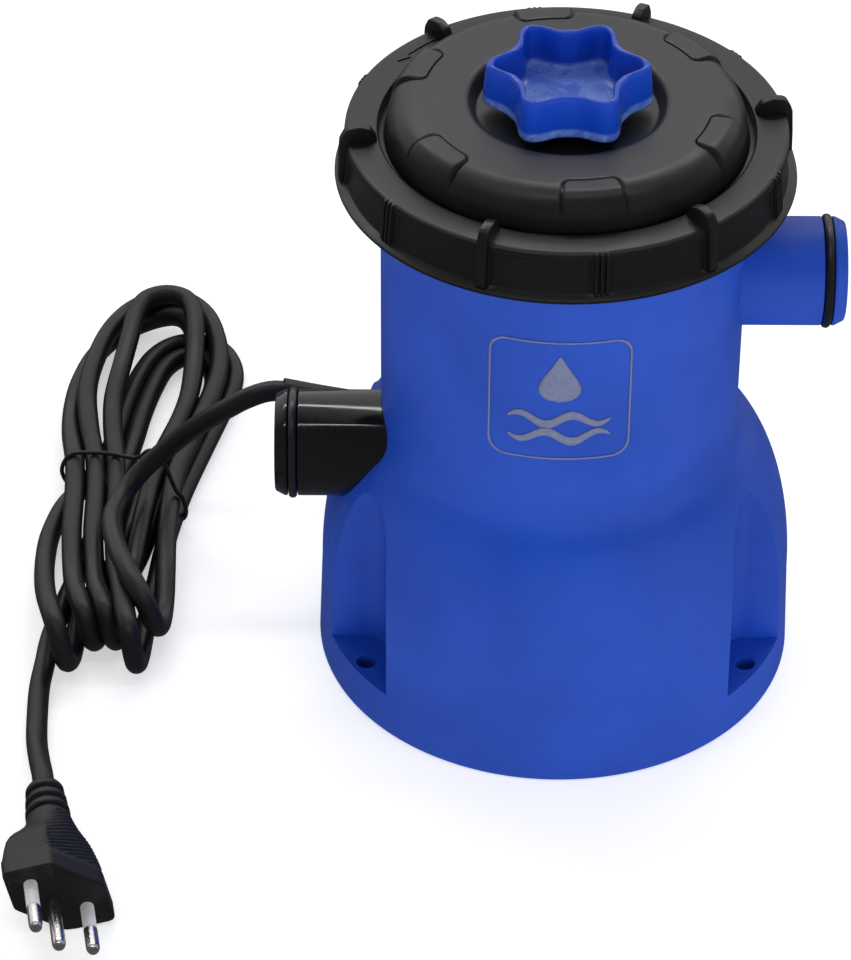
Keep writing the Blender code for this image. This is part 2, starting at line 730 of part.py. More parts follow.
def cartridge():
    low = CARTRIDGE_LOW + CAP_DEPTH
    high = CARTRIDGE_TOP - CAP_DEPTH
    bottom = [(18.5, CARTRIDGE_LOW), (CARTRIDGE_RADIUS, CARTRIDGE_LOW), (CARTRIDGE_RADIUS, low), (18.5, low)]
    top = [(12.0, high), (CARTRIDGE_RADIUS, high), (CARTRIDGE_RADIUS, CARTRIDGE_TOP), (12.0, CARTRIDGE_TOP)]
    lathe("cartridge_bottom_cap", bottom, "cap_vinyl", 36)
    lathe("cartridge_top_cap", top, "cap_vinyl", 36)
    folds = 2 * PLEATS
    outer = []
    inner = []
    for i in range(folds):
        turn = tau * i / folds
        crest = i % 2 == 0
        far = 39.0 if crest else 24.6
        near = 37.4 if crest else 23.2
        outer.append((far * cos(turn), far * sin(turn)))
        inner.append((near * cos(turn), near * sin(turn)))
    prism("cartridge_pleats", [outer, inner], low + GAP, high - GAP, "filter_paper")
    cage(low + GAP, high - GAP)


def cage(low, high):
    """The perforated tube that the pleats lean on."""
    columns = 16
    rows = 7
    ring = arc((0, 0), 21.0, 0.0, tau, columns)[:-1]
    bm = bmesh.new()
    grid = []
    for j in range(rows + 1):
        z = low + 0.8 + (high - low - 1.6) * j / rows
        grid.append([bm.verts.new((*place, z)) for place in ring])
    for j in range(rows):
        for i in range(columns):
            if j % 2 == 1 and i % 2 == 1:
                continue
            k = (i + 1) % columns
            bm.faces.new((grid[j][i], grid[j][k], grid[j + 1][k], grid[j + 1][i]))
    made = finish_mesh("cartridge_core", bm, "core_white")
    thick = made.modifiers.new("wall", "SOLIDIFY")
    thick.thickness = 1.6 * MM
    thick.offset = 0.0


# Cord and plug


def cord_sleeve():
    """The tapered sleeve that carries the cord out of the housing, with its flange inside the wall."""
    profile = [
        (0, -15.0),
        (8.0, -15.0),
        (8.0, -13.0),
        (5.4, -13.0),
        (5.4, 4.0),
        (5.0, 9.0),
        (4.4, 16.0),
        (4.1, SLEEVE_LENGTH),
        (0, SLEEVE_LENGTH),
    ]
    lathe("cord_strain_relief", profile, "cord_pvc", 16, facing(GLAND, GLAND_DIRECTION))


def cord():
    tube("cord_lead", smooth_route(LEAD_ROUTE, 7.0), CORD_RADIUS, "cord_pvc")
    prism("cord_hank", [HANK_OUTLINE], HANK_LOW, HANK_TOP, "cord_pvc")
    tube("cord_tail", smooth_route(TAIL_ROUTE, 7.0), CORD_RADIUS, "cord_pvc")
    left, right = TIE_X
    low, high = HANK_LOW - GAP, HANK_TOP + GAP
    hole = rounded_outline((left, low), (right, high), 0.5)
    band = rounded_outline((left - TIE_THICK, low - TIE_THICK), (right + TIE_THICK, high + TIE_THICK), 2.0)
    # The band is drawn in the XZ plane and goes round the hank, so its frame has Z along -Y.
    upright = Matrix(((1, 0, 0, 0), (0, 0, -1, TIE_Y), (0, 1, 0, 0), (0, 0, 0, 1)))
    prism("cord_tie", [band, hole], -TIE_THICK / 2, TIE_THICK / 2, "cord_pvc", upright)


def plug_frame():
    """At the middle of the pin face: Z along the pins, X across them, Y away from the earth pin."""
    along = Vector((sin(PLUG_AZIMUTH) * cos(PLUG_TILT), -cos(PLUG_AZIMUTH) * cos(PLUG_TILT), sin(PLUG_TILT)))
    level = Vector((cos(PLUG_AZIMUTH), sin(PLUG_AZIMUTH), 0.0))
    up = level.cross(-along)
    if up.z < 0:
        up = -up
    across = cos(PLUG_ROLL) * level - sin(PLUG_ROLL) * up
    away = sin(PLUG_ROLL) * level + cos(PLUG_ROLL) * up
    # Keep the frame right-handed.
    if across.cross(away).dot(along) < 0:
        across = -across
    frame = Matrix((across, away, along)).transposed().to_4x4()
    frame.translation = PLUG_FACE
    return frame


def hexagon_reach(turn, half_width, half_flat, half_height):
    """Distance from the centre to a flat hexagon's side, in the direction of turn."""
    c, s = abs(cos(turn)), abs(sin(turn))
    slope = half_height / (half_width - half_flat)
    flank = half_width * slope / (s + c * slope)
    return min(flank, half_height / s if s > 1e-6 else flank)


def plug_body(frame):
    """A moulded body: round ribbed tail, spreading into a flat hexagon that carries the pins."""
    sections = [
        (0.0, 4.6, 0.0),
        (1.0, 5.2, 0.0),
        (3.6, 5.3, 0.0),
        (4.0, 4.5, 0.0),
        (5.4, 4.5, 0.0),
        (5.8, 5.6, 0.0),
        (8.8, 5.8, 0.0),
        (9.2, 4.9, 0.0),
        (10.6, 4.9, 0.0),
        (11.0, 6.1, 0.0),
        (14.6, 6.4, 0.0),
        (17.0, 6.9, 0.05),
        (22.0, 8.4, 0.25),
        (29.0, 9.0, 0.62),
        (36.0, 9.4, 0.92),
        (38.0, 9.6, 1.0),
        (47.0, 9.6, 1.0),
        (PLUG_LENGTH, 9.1, 0.97),
    ]
    count = 20
    bm = bmesh.new()
    rings = []
    for at, round_radius, flatness in sections:
        ring = []
        for i in range(count):
            turn = tau * (i + 0.5) / count
            flat = hexagon_reach(turn, 19.4, 9.0, 9.0)
            radius = round_radius * (1 - flatness) + flat * flatness
            ring.append(bm.verts.new((radius * cos(turn), radius * sin(turn), at - PLUG_LENGTH)))
        rings.append(ring)
    for near, far in zip(rings, rings[1:]):
        for i in range(count):
            k = (i + 1) % count
            bm.faces.new((near[i], near[k], far[k], far[i]))
    bm.faces.new(rings[0])
    bm.faces.new(rings[-1])
    finish_mesh("plug_body", bm, "cord_pvc", frame)


def plug():
    frame = plug_frame()
    plug_body(frame)
    tip = [(PIN_RADIUS, PIN_LENGTH - 1.2), (1.2, PIN_LENGTH - 0.3), (0, PIN_LENGTH)]
    earth = [(0, GAP), (PIN_RADIUS, GAP), *tip]
    core = [(0, GAP), (1.3, GAP), (1.3, 9.8), (PIN_RADIUS, 9.8), *tip]
    sleeve = [(1.6, GAP), (PIN_RADIUS, GAP), (PIN_RADIUS, 9.5), (1.6, 9.5)]
    for name, side in (("line", -1), ("neutral", 1)):
        at = frame @ Matrix.Translation((side * PIN_PITCH / 2, 0, 0))
        lathe(f"plug_pin_{name}", core, "nickel", 12, at)
        lathe(f"plug_sleeve_{name}", sleeve, "pin_sleeve", 12, at)
    lathe("plug_pin_earth", earth, "nickel", 12, frame @ Matrix.Translation((0, -EARTH_OFFSET, 0)))


housing()
base_plate()
fasteners()
pump_body()
volute_cover()
rotor()
stator()
seals()
lock_collar()
cover()
air_valve_knob()
cartridge()
cord_sleeve()
cord()
plug()
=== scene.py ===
from math import ceil, cos, degrees, exp, pi, radians, sin, sqrt, tau

import bmesh
import bpy
from mathutils import Matrix, Vector


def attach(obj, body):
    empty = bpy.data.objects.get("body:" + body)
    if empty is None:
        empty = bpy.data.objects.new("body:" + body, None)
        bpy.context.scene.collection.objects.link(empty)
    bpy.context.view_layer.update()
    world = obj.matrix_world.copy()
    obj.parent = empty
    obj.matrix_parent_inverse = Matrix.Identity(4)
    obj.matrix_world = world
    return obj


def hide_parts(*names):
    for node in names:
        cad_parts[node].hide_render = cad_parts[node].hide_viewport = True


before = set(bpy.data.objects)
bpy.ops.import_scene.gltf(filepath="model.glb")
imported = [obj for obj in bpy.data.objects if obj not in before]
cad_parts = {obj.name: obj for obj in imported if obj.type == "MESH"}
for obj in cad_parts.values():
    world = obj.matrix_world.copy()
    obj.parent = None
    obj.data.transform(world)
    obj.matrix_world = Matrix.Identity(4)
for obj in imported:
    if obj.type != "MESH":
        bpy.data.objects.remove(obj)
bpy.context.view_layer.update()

MM = 0.001
scene = bpy.context.scene

# Sizes that follow the CAD, in millimetres
BASE_RADIUS = 72.5
DRAFT_TOP_RADIUS = 71.4
DRAFT_TOP = 30.0
SHOULDER_WIDTH = 21.7
SHOULDER_HEIGHT = 52.0
SHOULDER_END_ANGLE = radians(68.9)
WALL = 2.6
NECK_RADIUS = 53.3
NECK_INNER = 50.3
NECK_BLEND_TOP = 87.5
NECK_TOP = 179.3
FLOOR_LOW = 88.5
FLOOR_HIGH = 91.5
POCKET_X = 51.4
POCKET_Y = 22.8
POCKET_FLOOR = 14.5
POCKET_TOP_FRONT = 73.0
POCKET_TOP_REAR = 42.0
POCKET_ROUND = 7.0
FOOT_HOLE = (57.5, 35.0)
BASE_SCREW_AT = (46.3, 30.5)
INLET_HEIGHT = 136.3
OUTLET_HEIGHT = 74.4
OUTLET_Y = -3.6
SPIGOT_RADIUS = 16.0
INLET_END = 82.3
OUTLET_END = 85.0
BORE_RADIUS = 11.5
COVER_TOP = 196.6
RECESS_RADIUS = 26.5
RECESS_FLOOR = 192.0
FIN_START = radians(7.5)
KNOB_LOW = 195.1
KNOB_TOP = 208.1
GLAND = Vector((-56.5, 39.5, 54.0))
GLAND_DIRECTION = Vector((-22.5, -0.5, 6.0)).normalized()
SLEEVE_END = 29.0
SLEEVE_MOUTH = 1.8
CORD_RADIUS = 3.25
TIE_RADIUS = 0.7
PLUG_FACE = Vector((-143.98, -136.38, 12.9))
PLUG_AZIMUTH = radians(9.3)
PLUG_TILT = radians(2.5)
PLUG_ROLL = radians(34.7)
PLUG_LENGTH = 47.8
PLUG_HALF_WIDTH = 19.4
PLUG_HALF_FLAT = 9.0
PLUG_HALF_HEIGHT = 9.0
PIN_PITCH = 19.0
PIN_RADIUS = 2.0
PIN_LENGTH = 19.0
PIN_EARTH_OFFSET = 3.0
PUMP_SCREW_RADIUS = 36.5


# Node helpers for the sky and the materials


class Nodes:
    """A node tree that is built from the position of what it colours."""

    def __init__(self, tree, coordinates="Object"):
        self.tree = tree
        self.place = self.node("ShaderNodeTexCoord").outputs[coordinates]

    def node(self, kind, **settings):
        made = self.tree.nodes.new(kind)
        for key, value in settings.items():
            setattr(made, key, value)
        return made

    def feed(self, socket, value):
        if isinstance(value, bpy.types.NodeSocket):
            self.tree.links.new(value, socket)
        else:
            socket.default_value = value

    def math(self, operation, a, b=0.0, c=0.0):
        made = self.node("ShaderNodeMath", operation=operation)
        for socket, value in zip(made.inputs, (a, b, c)):
            self.feed(socket, value)
        return made.outputs[0]

    def axis(self, letter):
        split = self.node("ShaderNodeSeparateXYZ")
        self.feed(split.inputs[0], self.place)
        return split.outputs[letter]

    def mix(self, factor, a, b):
        made = self.node("ShaderNodeMix", data_type="RGBA")
        self.feed(made.inputs[0], factor)
        for socket, value in ((made.inputs[6], a), (made.inputs[7], b)):
            self.feed(socket, value if isinstance(value, bpy.types.NodeSocket) else (*value, 1.0))
        return made.outputs[2]


# Camera, floor and light

camera_data = bpy.data.cameras.new("camera")
camera = bpy.data.objects.new("camera", camera_data)
scene.collection.objects.link(camera)
scene.camera = camera
aim = Matrix.Rotation(radians(0.0335), 4, "Z") @ Matrix.Rotation(radians(51.451), 4, "X")
roll = Matrix.Rotation(radians(0.2712), 4, "Z")
camera.matrix_world = Matrix.Translation((-0.04006, -1.02616, 0.87522)) @ aim @ roll
camera_data.sensor_width = 36.0
camera_data.lens = 161.823
camera_data.shift_x = 0.002836
camera_data.shift_y = -0.000936
camera_data.clip_start = 0.05
camera_data.clip_end = 20.0
scene.view_settings.view_transform = "Standard"

# The surroundings are bright behind, as from a large soft box, and dark in front and below.
world = bpy.data.worlds.new("studio")
scene.world = world
world.use_nodes = True
sky = Nodes(world.node_tree, "Generated")
ramp = sky.node("ShaderNodeValToRGB")
stops = ramp.color_ramp.elements
stops[0].position = 0.46
stops[0].color = (0.10, 0.10, 0.105, 1.0)
stops[1].position = 0.86
stops[1].color = (0.92, 0.92, 0.93, 1.0)
sky.feed(ramp.inputs[0], sky.math("MULTIPLY_ADD", sky.axis("Y"), 0.5, 0.5))
above = sky.math("GREATER_THAN", sky.axis("Z"), -0.02)
sky_light = sky.tree.nodes["Background"]
sky.feed(sky_light.inputs["Strength"], 1.0)
sky.feed(sky_light.inputs["Color"], sky.mix(above, (0.10, 0.10, 0.11), ramp.outputs["Color"]))


def area_light(name, place, target, size, power, size_y=None):
    light = bpy.data.lights.new(name, "AREA")
    light.shape = "RECTANGLE"
    light.size = size
    light.size_y = size_y or size
    light.energy = power
    made = bpy.data.objects.new(name, light)
    made.location = place
    made.rotation_euler = (Vector(target) - Vector(place)).to_track_quat("-Z", "Y").to_euler()
    scene.collection.objects.link(made)
    return made


soft = [
    area_light("key_right", (1.3, -0.9, 0.6), (0, 0, 0.1), 1.2, 9.0),
    area_light("fill_left", (-1.3, -0.8, 0.6), (0, 0, 0.1), 1.2, 5.0),
    area_light("front", (0.1, -1.9, 0.55), (0, 0, 0.1), 1.6, 12.0, 0.9),
]
for light in soft:
    light.visible_glossy = False
area_light("strip_back", (-0.1, 0.85, 1.25), (-0.1, 0, 0.08), 1.8, 6.0, 0.10)
area_light("strip_over", (-0.1, -0.35, 1.5), (-0.1, 0, 0.08), 1.8, 3.0, 0.035)

floor_mesh = bpy.data.meshes.new("floor")
floor_bm = bmesh.new()
bmesh.ops.create_grid(floor_bm, x_segments=1, y_segments=1, size=80.0)
floor_bm.to_mesh(floor_mesh)
floor_bm.free()
floor = bpy.data.objects.new("floor", floor_mesh)
floor.location = (0, 0, -0.0002)
scene.collection.objects.link(floor)
floor.visible_glossy = False


# Materials: each is built from noise in the part's frame, in metres, so that its grain has a real scale


class Look(Nodes):
    """A Principled material with helpers for the node patterns that vary it."""

    def __init__(self, name, colour, roughness, metallic=0.0, specular=0.5):
        self.material = bpy.data.materials.new(name)
        self.material.use_nodes = True
        super().__init__(self.material.node_tree)
        self.shader = self.tree.nodes["Principled BSDF"]
        self.material.diffuse_color = (*colour, 1.0)
        self.set("Base Color", (*colour, 1.0))
        self.set("Roughness", roughness)
        self.set("Metallic", metallic)
        self.set("Specular IOR Level", specular)

    def set(self, socket, value):
        self.feed(self.shader.inputs[socket], value)

    def fed(self, socket):
        """What feeds the shader's socket now."""
        return self.shader.inputs[socket].links[0].from_socket

    def squeezed(self, scale):
        made = self.node("ShaderNodeMapping")
        self.feed(made.inputs["Vector"], self.place)
        made.inputs["Scale"].default_value = scale
        return made.outputs[0]

    def noise(self, scale, detail=3.0, rough=0.55, place=None, distortion=0.0):
        made = self.node("ShaderNodeTexNoise")
        self.feed(made.inputs["Vector"], place or self.place)
        made.inputs["Scale"].default_value = scale
        made.inputs["Detail"].default_value = detail
        made.inputs["Roughness"].default_value = rough
        made.inputs["Distortion"].default_value = distortion
        return made.outputs["Fac"]

    def fit(self, value, low, high, to_low, to_high):
        made = self.node("ShaderNodeMapRange", interpolation_type="SMOOTHSTEP")
        for socket, v in zip(made.inputs, (value, low, high, to_low, to_high)):
            self.feed(socket, v)
        return made.outputs[0]

    def bump(self, height, distance, strength=1.0, over=None):
        made = self.node("ShaderNodeBump")
        made.inputs["Strength"].default_value = strength
        made.inputs["Distance"].default_value = distance * MM
        self.feed(made.inputs["Height"], height)
        if over is not None:
            self.feed(made.inputs["Normal"], over)
        self.set("Normal", made.outputs[0])


def plastic(name, colour, roughness, specular, grain=0.012, varied=0.08, worn=0.35, worn_to=None):
    """Moulded plastic: faint clouds of colour, fine spark-eroded grain, and duller handling marks."""
    look = Look(name, colour, roughness, 0.0, specular)
    clouds = look.noise(22.0, 4.0, 0.6)
    dark = tuple(c * (1 - varied) for c in colour)
    light = tuple(min(1.0, c * (1 + varied)) for c in colour)
    tone = look.mix(look.fit(clouds, 0.35, 0.65, 0.0, 1.0), dark, light)
    scuffs = look.noise(160.0, 6.0, 0.75, look.squeezed((1.0, 1.0, 3.0)), 0.6)
    marks = look.fit(scuffs, 0.66, 0.78, 0.0, worn)
    look.set("Base Color", look.mix(marks, tone, worn_to or tuple(c * 1.25 + 0.004 for c in colour)))
    patches = look.noise(45.0, 5.0, 0.6, None, 0.3)
    patchy = look.fit(patches, 0.3, 0.7, roughness - 0.05, roughness + 0.06)
    look.set("Roughness", look.math("ADD", patchy, look.math("MULTIPLY", marks, 0.2)))
    look.bump(look.noise(2600.0, 2.0, 0.5), grain, 0.8)
    return look


def metal(name, colour, roughness):
    """Plated or brushed metal with fine lines and faint tarnish."""
    look = Look(name, colour, roughness, 1.0)
    lines = look.noise(900.0, 4.0, 0.7, look.squeezed((1.0, 1.0, 30.0)))
    tarnish = look.noise(260.0, 4.0, 0.6)
    dulled = look.fit(tarnish, 0.4, 0.8, 0.0, 0.6)
    look.set("Base Color", look.mix(dulled, colour, tuple(c * 0.62 for c in colour)))
    look.set("Roughness", look.fit(lines, 0.3, 0.7, roughness - 0.06, roughness + 0.12))
    look.bump(lines, 0.01, 0.5)
    return look


BODY_BLUE = plastic(
    "body_blue_satin", (0.01, 0.061, 0.43), 0.46, 0.3, worn=0.12, worn_to=(0.014, 0.078, 0.47)
)
KNOB_BLUE = plastic("knob_blue_gloss", (0.005, 0.052, 0.480), 0.24, 0.5, grain=0.004, varied=0.05, worn=0.15)
COLLAR_BLACK = plastic("collar_black", (0.006, 0.006, 0.007), 0.36, 0.42, varied=0.15)
LID_BLACK = plastic("lid_black_satin", (0.008, 0.008, 0.009), 0.40, 0.5, grain=0.02, varied=0.2, worn=0.5)
PUMP_BLACK = plastic("pump_black_gloss", (0.005, 0.005, 0.006), 0.13, 0.5, grain=0.002, varied=0.1)
CORD_BLACK = plastic("cord_black", (0.006, 0.006, 0.007), 0.42, 0.4, grain=0.02, varied=0.2)
PLUG_BLACK = plastic("plug_black", (0.007, 0.007, 0.008), 0.46, 0.4, grain=0.03, varied=0.15)
RUBBER = plastic("seal_rubber_black", (0.008, 0.008, 0.008), 0.34, 0.5, grain=0.012, varied=0.1, worn=0.6)
BASE_BLACK = plastic("base_plate_black", (0.014, 0.014, 0.016), 0.5, 0.4, grain=0.03)
CAP_VINYL = plastic("cap_vinyl_blue", (0.05, 0.18, 0.45), 0.5, 0.4, grain=0.02)
WHITE_PLASTIC = plastic(
    "white_plastic", (0.72, 0.73, 0.72), 0.4, 0.45, varied=0.03, worn_to=(0.6, 0.58, 0.52)
)
SLEEVE_WHITE = plastic(
    "pin_sleeve_white", (0.70, 0.70, 0.72), 0.35, 0.5, varied=0.03, worn_to=(0.5, 0.5, 0.52)
)
BUSH_WHITE = plastic("bush_ceramic_white", (0.85, 0.84, 0.80), 0.2, 0.5, grain=0.003, varied=0.03)
FERRITE = plastic("ferrite_grey", (0.05, 0.05, 0.055), 0.42, 0.5, grain=0.03, varied=0.25)
NICKEL = metal("nickel_plate", (0.78, 0.76, 0.72), 0.2)
STEEL = metal("steel_turned", (0.60, 0.61, 0.62), 0.28)

PRINT_SILVER = Look("print_silver", (0.105, 0.135, 0.235), 0.4, 0.0, 0.4)
thin_ink = PRINT_SILVER.fit(PRINT_SILVER.noise(700.0, 5.0, 0.7), 0.35, 0.7, 0.0, 1.0)
PRINT_SILVER.set("Base Color", PRINT_SILVER.mix(thin_ink, (0.17, 0.19, 0.29), (0.12, 0.15, 0.29)))
PRINT_SILVER.bump(PRINT_SILVER.noise(1800.0), 0.01, 0.6)


def paint_knob_floor_light(look):
    """Paints light on the knob's up-facing floor: a lighter blue in soft patches, with faint turned rings."""
    ground = look.fit(look.axis("Z"), 197.3 * MM, 198.6 * MM, 1.0, 0.0)
    x, y = look.axis("X"), look.axis("Y")
    reach = look.math("SQRT", look.math("ADD", look.math("MULTIPLY", x, x), look.math("MULTIPLY", y, y)))
    rings = look.math("SINE", look.math("MULTIPLY", reach, 3800.0))
    patch = look.fit(look.noise(90.0, 4.0, 0.7, None, 0.8), 0.42, 0.6, 0.0, 1.0)
    ringed = look.math("MULTIPLY", look.fit(rings, 0.75, 1.0, 0.0, 0.3), patch)
    floor_light = look.math("MULTIPLY", ground, look.math("ADD", ringed, look.fit(patch, 0.0, 1.0, 0.35, 0.65)))
    # the lighter blue on the floor is painted light, not a colour of the plastic
    look.set("Base Color", look.mix(floor_light, look.fed("Base Color"), (0.19, 0.34, 0.80)))
    look.bump(rings, 0.01, 0.25, look.fed("Normal"))


# Painted light on the knob's floor
paint_knob_floor_light(KNOB_BLUE)

# Filter paper: a soft grid of fibres
PAPER = Look("filter_paper_white", (0.80, 0.81, 0.78), 0.85, 0.0, 0.2)
fibres = PAPER.noise(1400.0, 5.0, 0.8, PAPER.squeezed((1.0, 1.0, 0.35)))
fibre_tone = PAPER.fit(fibres, 0.35, 0.7, 0.0, 1.0)
PAPER.set("Base Color", PAPER.mix(fibre_tone, (0.84, 0.85, 0.82), (0.66, 0.68, 0.64)))
PAPER.bump(fibres, 0.08, 0.7)

# Core of stacked sheets: dark lines every half millimetre up the stack
LAMINATION = Look("lamination_steel", (0.32, 0.32, 0.34), 0.42, 1.0)
sheets = LAMINATION.math("FRACT", LAMINATION.math("MULTIPLY", LAMINATION.axis("Z"), 2000.0))
line = LAMINATION.fit(sheets, 0.0, 0.25, 1.0, 0.0)
LAMINATION.set("Base Color", LAMINATION.mix(line, (0.34, 0.34, 0.36), (0.05, 0.05, 0.055)))
LAMINATION.bump(sheets, 0.06, 0.6)

# Coils: tape wound round, its edges showing as slanted bands
COIL = Look("coil_tape_amber", (0.62, 0.40, 0.10), 0.35, 0.0, 0.5)
slant = COIL.math("ADD", COIL.axis("Y"), COIL.math("MULTIPLY", COIL.axis("Z"), 0.3))
turns = COIL.math("FRACT", COIL.math("MULTIPLY", slant, 160.0))
overlap = COIL.fit(turns, 0.0, 0.12, 1.0, 0.0)
wire = COIL.math("FRACT", COIL.math("MULTIPLY", COIL.axis("Z"), 1800.0))
amber = COIL.mix(COIL.fit(wire, 0.0, 0.5, 0.25, 0.0), (0.62, 0.40, 0.10), (0.30, 0.13, 0.03))
COIL.set("Base Color", COIL.mix(overlap, amber, (0.26, 0.15, 0.05)))
COIL.bump(turns, 0.15, 0.5)

FLOOR_WHITE = Look("floor_white", (0.93, 0.93, 0.93), 0.9, 0.0, 0.0)
FLOOR_WHITE.set("Base Color", FLOOR_WHITE.mix(FLOOR_WHITE.noise(3.0), (0.84, 0.84, 0.84), (0.86, 0.86, 0.86)))
FLOOR_WHITE.set("Emission Color", (1.0, 1.0, 1.0, 1.0))
FLOOR_WHITE.set("Emission Strength", 0.5)
floor_mesh.materials.append(FLOOR_WHITE.material)


# Carried-over CAD pieces, which only show with the pump taken apart

CARRIED = {
    "base_plate": BASE_BLACK,
    "volute_cover": PUMP_BLACK,
    "pump_gasket": RUBBER,
    "rotor_magnet": FERRITE,
    "impeller": WHITE_PLASTIC,
    "rotor_shaft": STEEL,
    "shaft_bush_lower": BUSH_WHITE,
    "shaft_bush_upper": BUSH_WHITE,
    "stator_core": LAMINATION,
    "coil_left": COIL,
    "coil_right": COIL,
}
for i in range(1, 5):
    CARRIED[f"base_screw_{i}"] = STEEL
    CARRIED[f"pump_screw_{i}"] = STEEL
for name, look in CARRIED.items():
    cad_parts[name].data.materials.clear()
    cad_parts[name].data.materials.append(look.material)


# Mesh helpers, in millimetres


def bend(start, middle, stop, shares):
    """Points at these shares of the curve that leaves start toward middle and reaches stop."""
    return [tuple((1 - t) ** 2 * start + 2 * t * (1 - t) * middle + t**2 * stop) for t in shares]


def filleted(points, closed=False, steps=5):
    """Points (r, z) or (r, z, radius): a corner with a radius becomes a short curve."""
    made = []
    count = len(points)
    for i, point in enumerate(points):
        size = point[2] if len(point) > 2 else 0.0
        here = Vector(point[:2])
        ends = i in (0, count - 1) and not closed
        if size <= 0.0 or ends:
            made.append(tuple(here))
            continue
        before = Vector(points[i - 1][:2]) - here
        after = Vector(points[(i + 1) % count][:2]) - here
        half = before.angle(after) / 2
        back = min(size / max(0.05, abs(sin(half) / cos(half))), before.length * 0.48, after.length * 0.48)
        start = here + before.normalized() * back
        made += bend(start, here, here + after.normalized() * back, [k / steps for k in range(steps + 1)])
    return made


def divided(points, spacing):
    """The same closed line with a point at least every spacing."""
    made = []
    for a, b in zip(points, points[1:] + points[:1]):
        a, b = Vector(a), Vector(b)
        steps = max(1, ceil((b - a).length / spacing))
        made += [tuple(a.lerp(b, k / steps)) for k in range(steps)]
    return made


def polar(r, turn, z):
    return (r * cos(turn), r * sin(turn), z)


def circle(r, z, steps):
    return [polar(r, tau * k / steps, z) for k in range(steps)]


def facing(origin, direction):
    """A frame at origin with its Z along direction."""
    turn = Vector(direction).to_track_quat("Z", "Y").to_matrix().to_4x4()
    return Matrix.Translation(Vector(origin)) @ turn


INLET = facing((0, 0, INLET_HEIGHT), (1, 0, 0))
OUTLET = facing((0, OUTLET_Y, OUTLET_HEIGHT), (-1, 0, 0))
CORD_EXIT = facing(GLAND, GLAND_DIRECTION)


def pump_screw_turn(i):
    return Matrix.Rotation(pi / 4 + i * pi / 2, 4, "Z")


def pump_screw_place(i):
    return pump_screw_turn(i) @ Matrix.Translation((PUMP_SCREW_RADIUS, 0, 0))


def finished(name, bm, look, place=Matrix(), sharp=38):
    bmesh.ops.recalc_face_normals(bm, faces=bm.faces)
    bm.transform(Matrix.Scale(MM, 4) @ place)
    if place.determinant() < 0:
        bmesh.ops.reverse_faces(bm, faces=bm.faces)
    mesh = bpy.data.meshes.new(name)
    bm.to_mesh(mesh)
    bm.free()
    if look is not None:
        mesh.materials.append(look.material)
    mesh.shade_smooth()
    mesh.set_sharp_from_angle(angle=radians(sharp))
    made = bpy.data.objects.new(name, mesh)
    scene.collection.objects.link(made)
    return made


def skin(name, rings, look, place=Matrix(), closed=False, caps=False, sharp=38):
    """A surface through rings of points, of which a ring of one point is a pole.

    closed joins the last ring to the first, and caps fills those two.
    """
    bm = bmesh.new()
    rows = [[bm.verts.new(p) for p in ring] for ring in rings]
    if caps:
        bm.faces.new(rows[0])
        bm.faces.new(rows[-1])
    pairs = list(zip(rows, rows[1:]))
    if closed:
        pairs.append((rows[-1], rows[0]))
    for a, b in pairs:
        count = max(len(a), len(b))
        for i in range(count):
            k = (i + 1) % count
            corners = [a[i % len(a)], a[k % len(a)], b[k % len(b)], b[i % len(b)]]
            kept = [v for j, v in enumerate(corners) if v not in corners[:j]]
            if len(kept) > 2:
                bm.faces.new(kept)
    return finished(name, bm, look, place, sharp)


def revolve(name, profile, look, steps=128, place=Matrix()):
    """Spins a closed (r, z) profile about Z. One that starts and ends at radius 0 gets poles."""
    rings = [[(0.0, 0.0, z)] if r < 1e-6 else circle(r, z, steps) for r, z in profile]
    return skin(name, rings, look, place, closed=profile[0][0] > 0.0)


def prism(name, outline, low, high, look, place=Matrix()):
    return skin(name, [[(*p, z) for p in outline] for z in (low, high)], look, place, caps=True)


def thread(name, section, wall, side, start, turns, low, climb, fade_rate, steps):
    """A ridge that winds up a wall and fades out at its ends. side is 1 on an outer wall, -1 on an inner."""
    rings = []
    for i in range(steps + 1):
        part = i / steps
        fade = min(1.0, fade_rate * part, fade_rate * (1 - part))
        turn = start + turns * tau * part
        rise = low + climb * part
        faded = [(dr * fade if dr * side > 0 else dr, dz) for dr, dz in section]
        rings.append([polar(wall + dr, turn, rise + dz) for dr, dz in faded])
    return skin(name, rings, BODY_BLUE if side > 0 else COLLAR_BLACK)


def arc(centre, radius, start, end, count):
    turns = [start + (end - start) * i / count for i in range(count + 1)]
    return [(centre[0] + radius * cos(t), centre[1] + radius * sin(t)) for t in turns]


def settle(obj):
    """Applies the modifiers."""
    bpy.context.view_layer.update()
    shape = obj.evaluated_get(bpy.context.evaluated_depsgraph_get())
    mesh = bpy.data.meshes.new_from_object(shape)
    obj.modifiers.clear()
    obj.data = mesh
    return obj


def combine(body, others, operation):
    for other in others:
        step = body.modifiers.new(other.name, "BOOLEAN")
        step.operation = operation
        step.solver = "EXACT"
        step.object = other
    settle(body)
    for other in others:
        bpy.data.objects.remove(other)
    return body


def softened(obj, width, segments, angle):
    step = obj.modifiers.new("soft_edges", "BEVEL")
    step.width = width * MM
    step.segments = segments
    step.limit_method = "ANGLE"
    step.angle_limit = radians(angle)
    settle(obj)
    obj.data.shade_smooth()
    obj.data.set_sharp_from_angle(angle=radians(30))
    return obj


def thickened(obj, thickness, offset=-1.0):
    step = obj.modifiers.new("wall", "SOLIDIFY")
    step.thickness = thickness * MM
    step.offset = offset
    return settle(obj)


def put(obj, body, slot, *replaced):
    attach(obj, body)
    if replaced:
        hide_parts(*replaced)
    return obj


# Housing: the same outlines as the CAD, with rounded edges and a finer surface


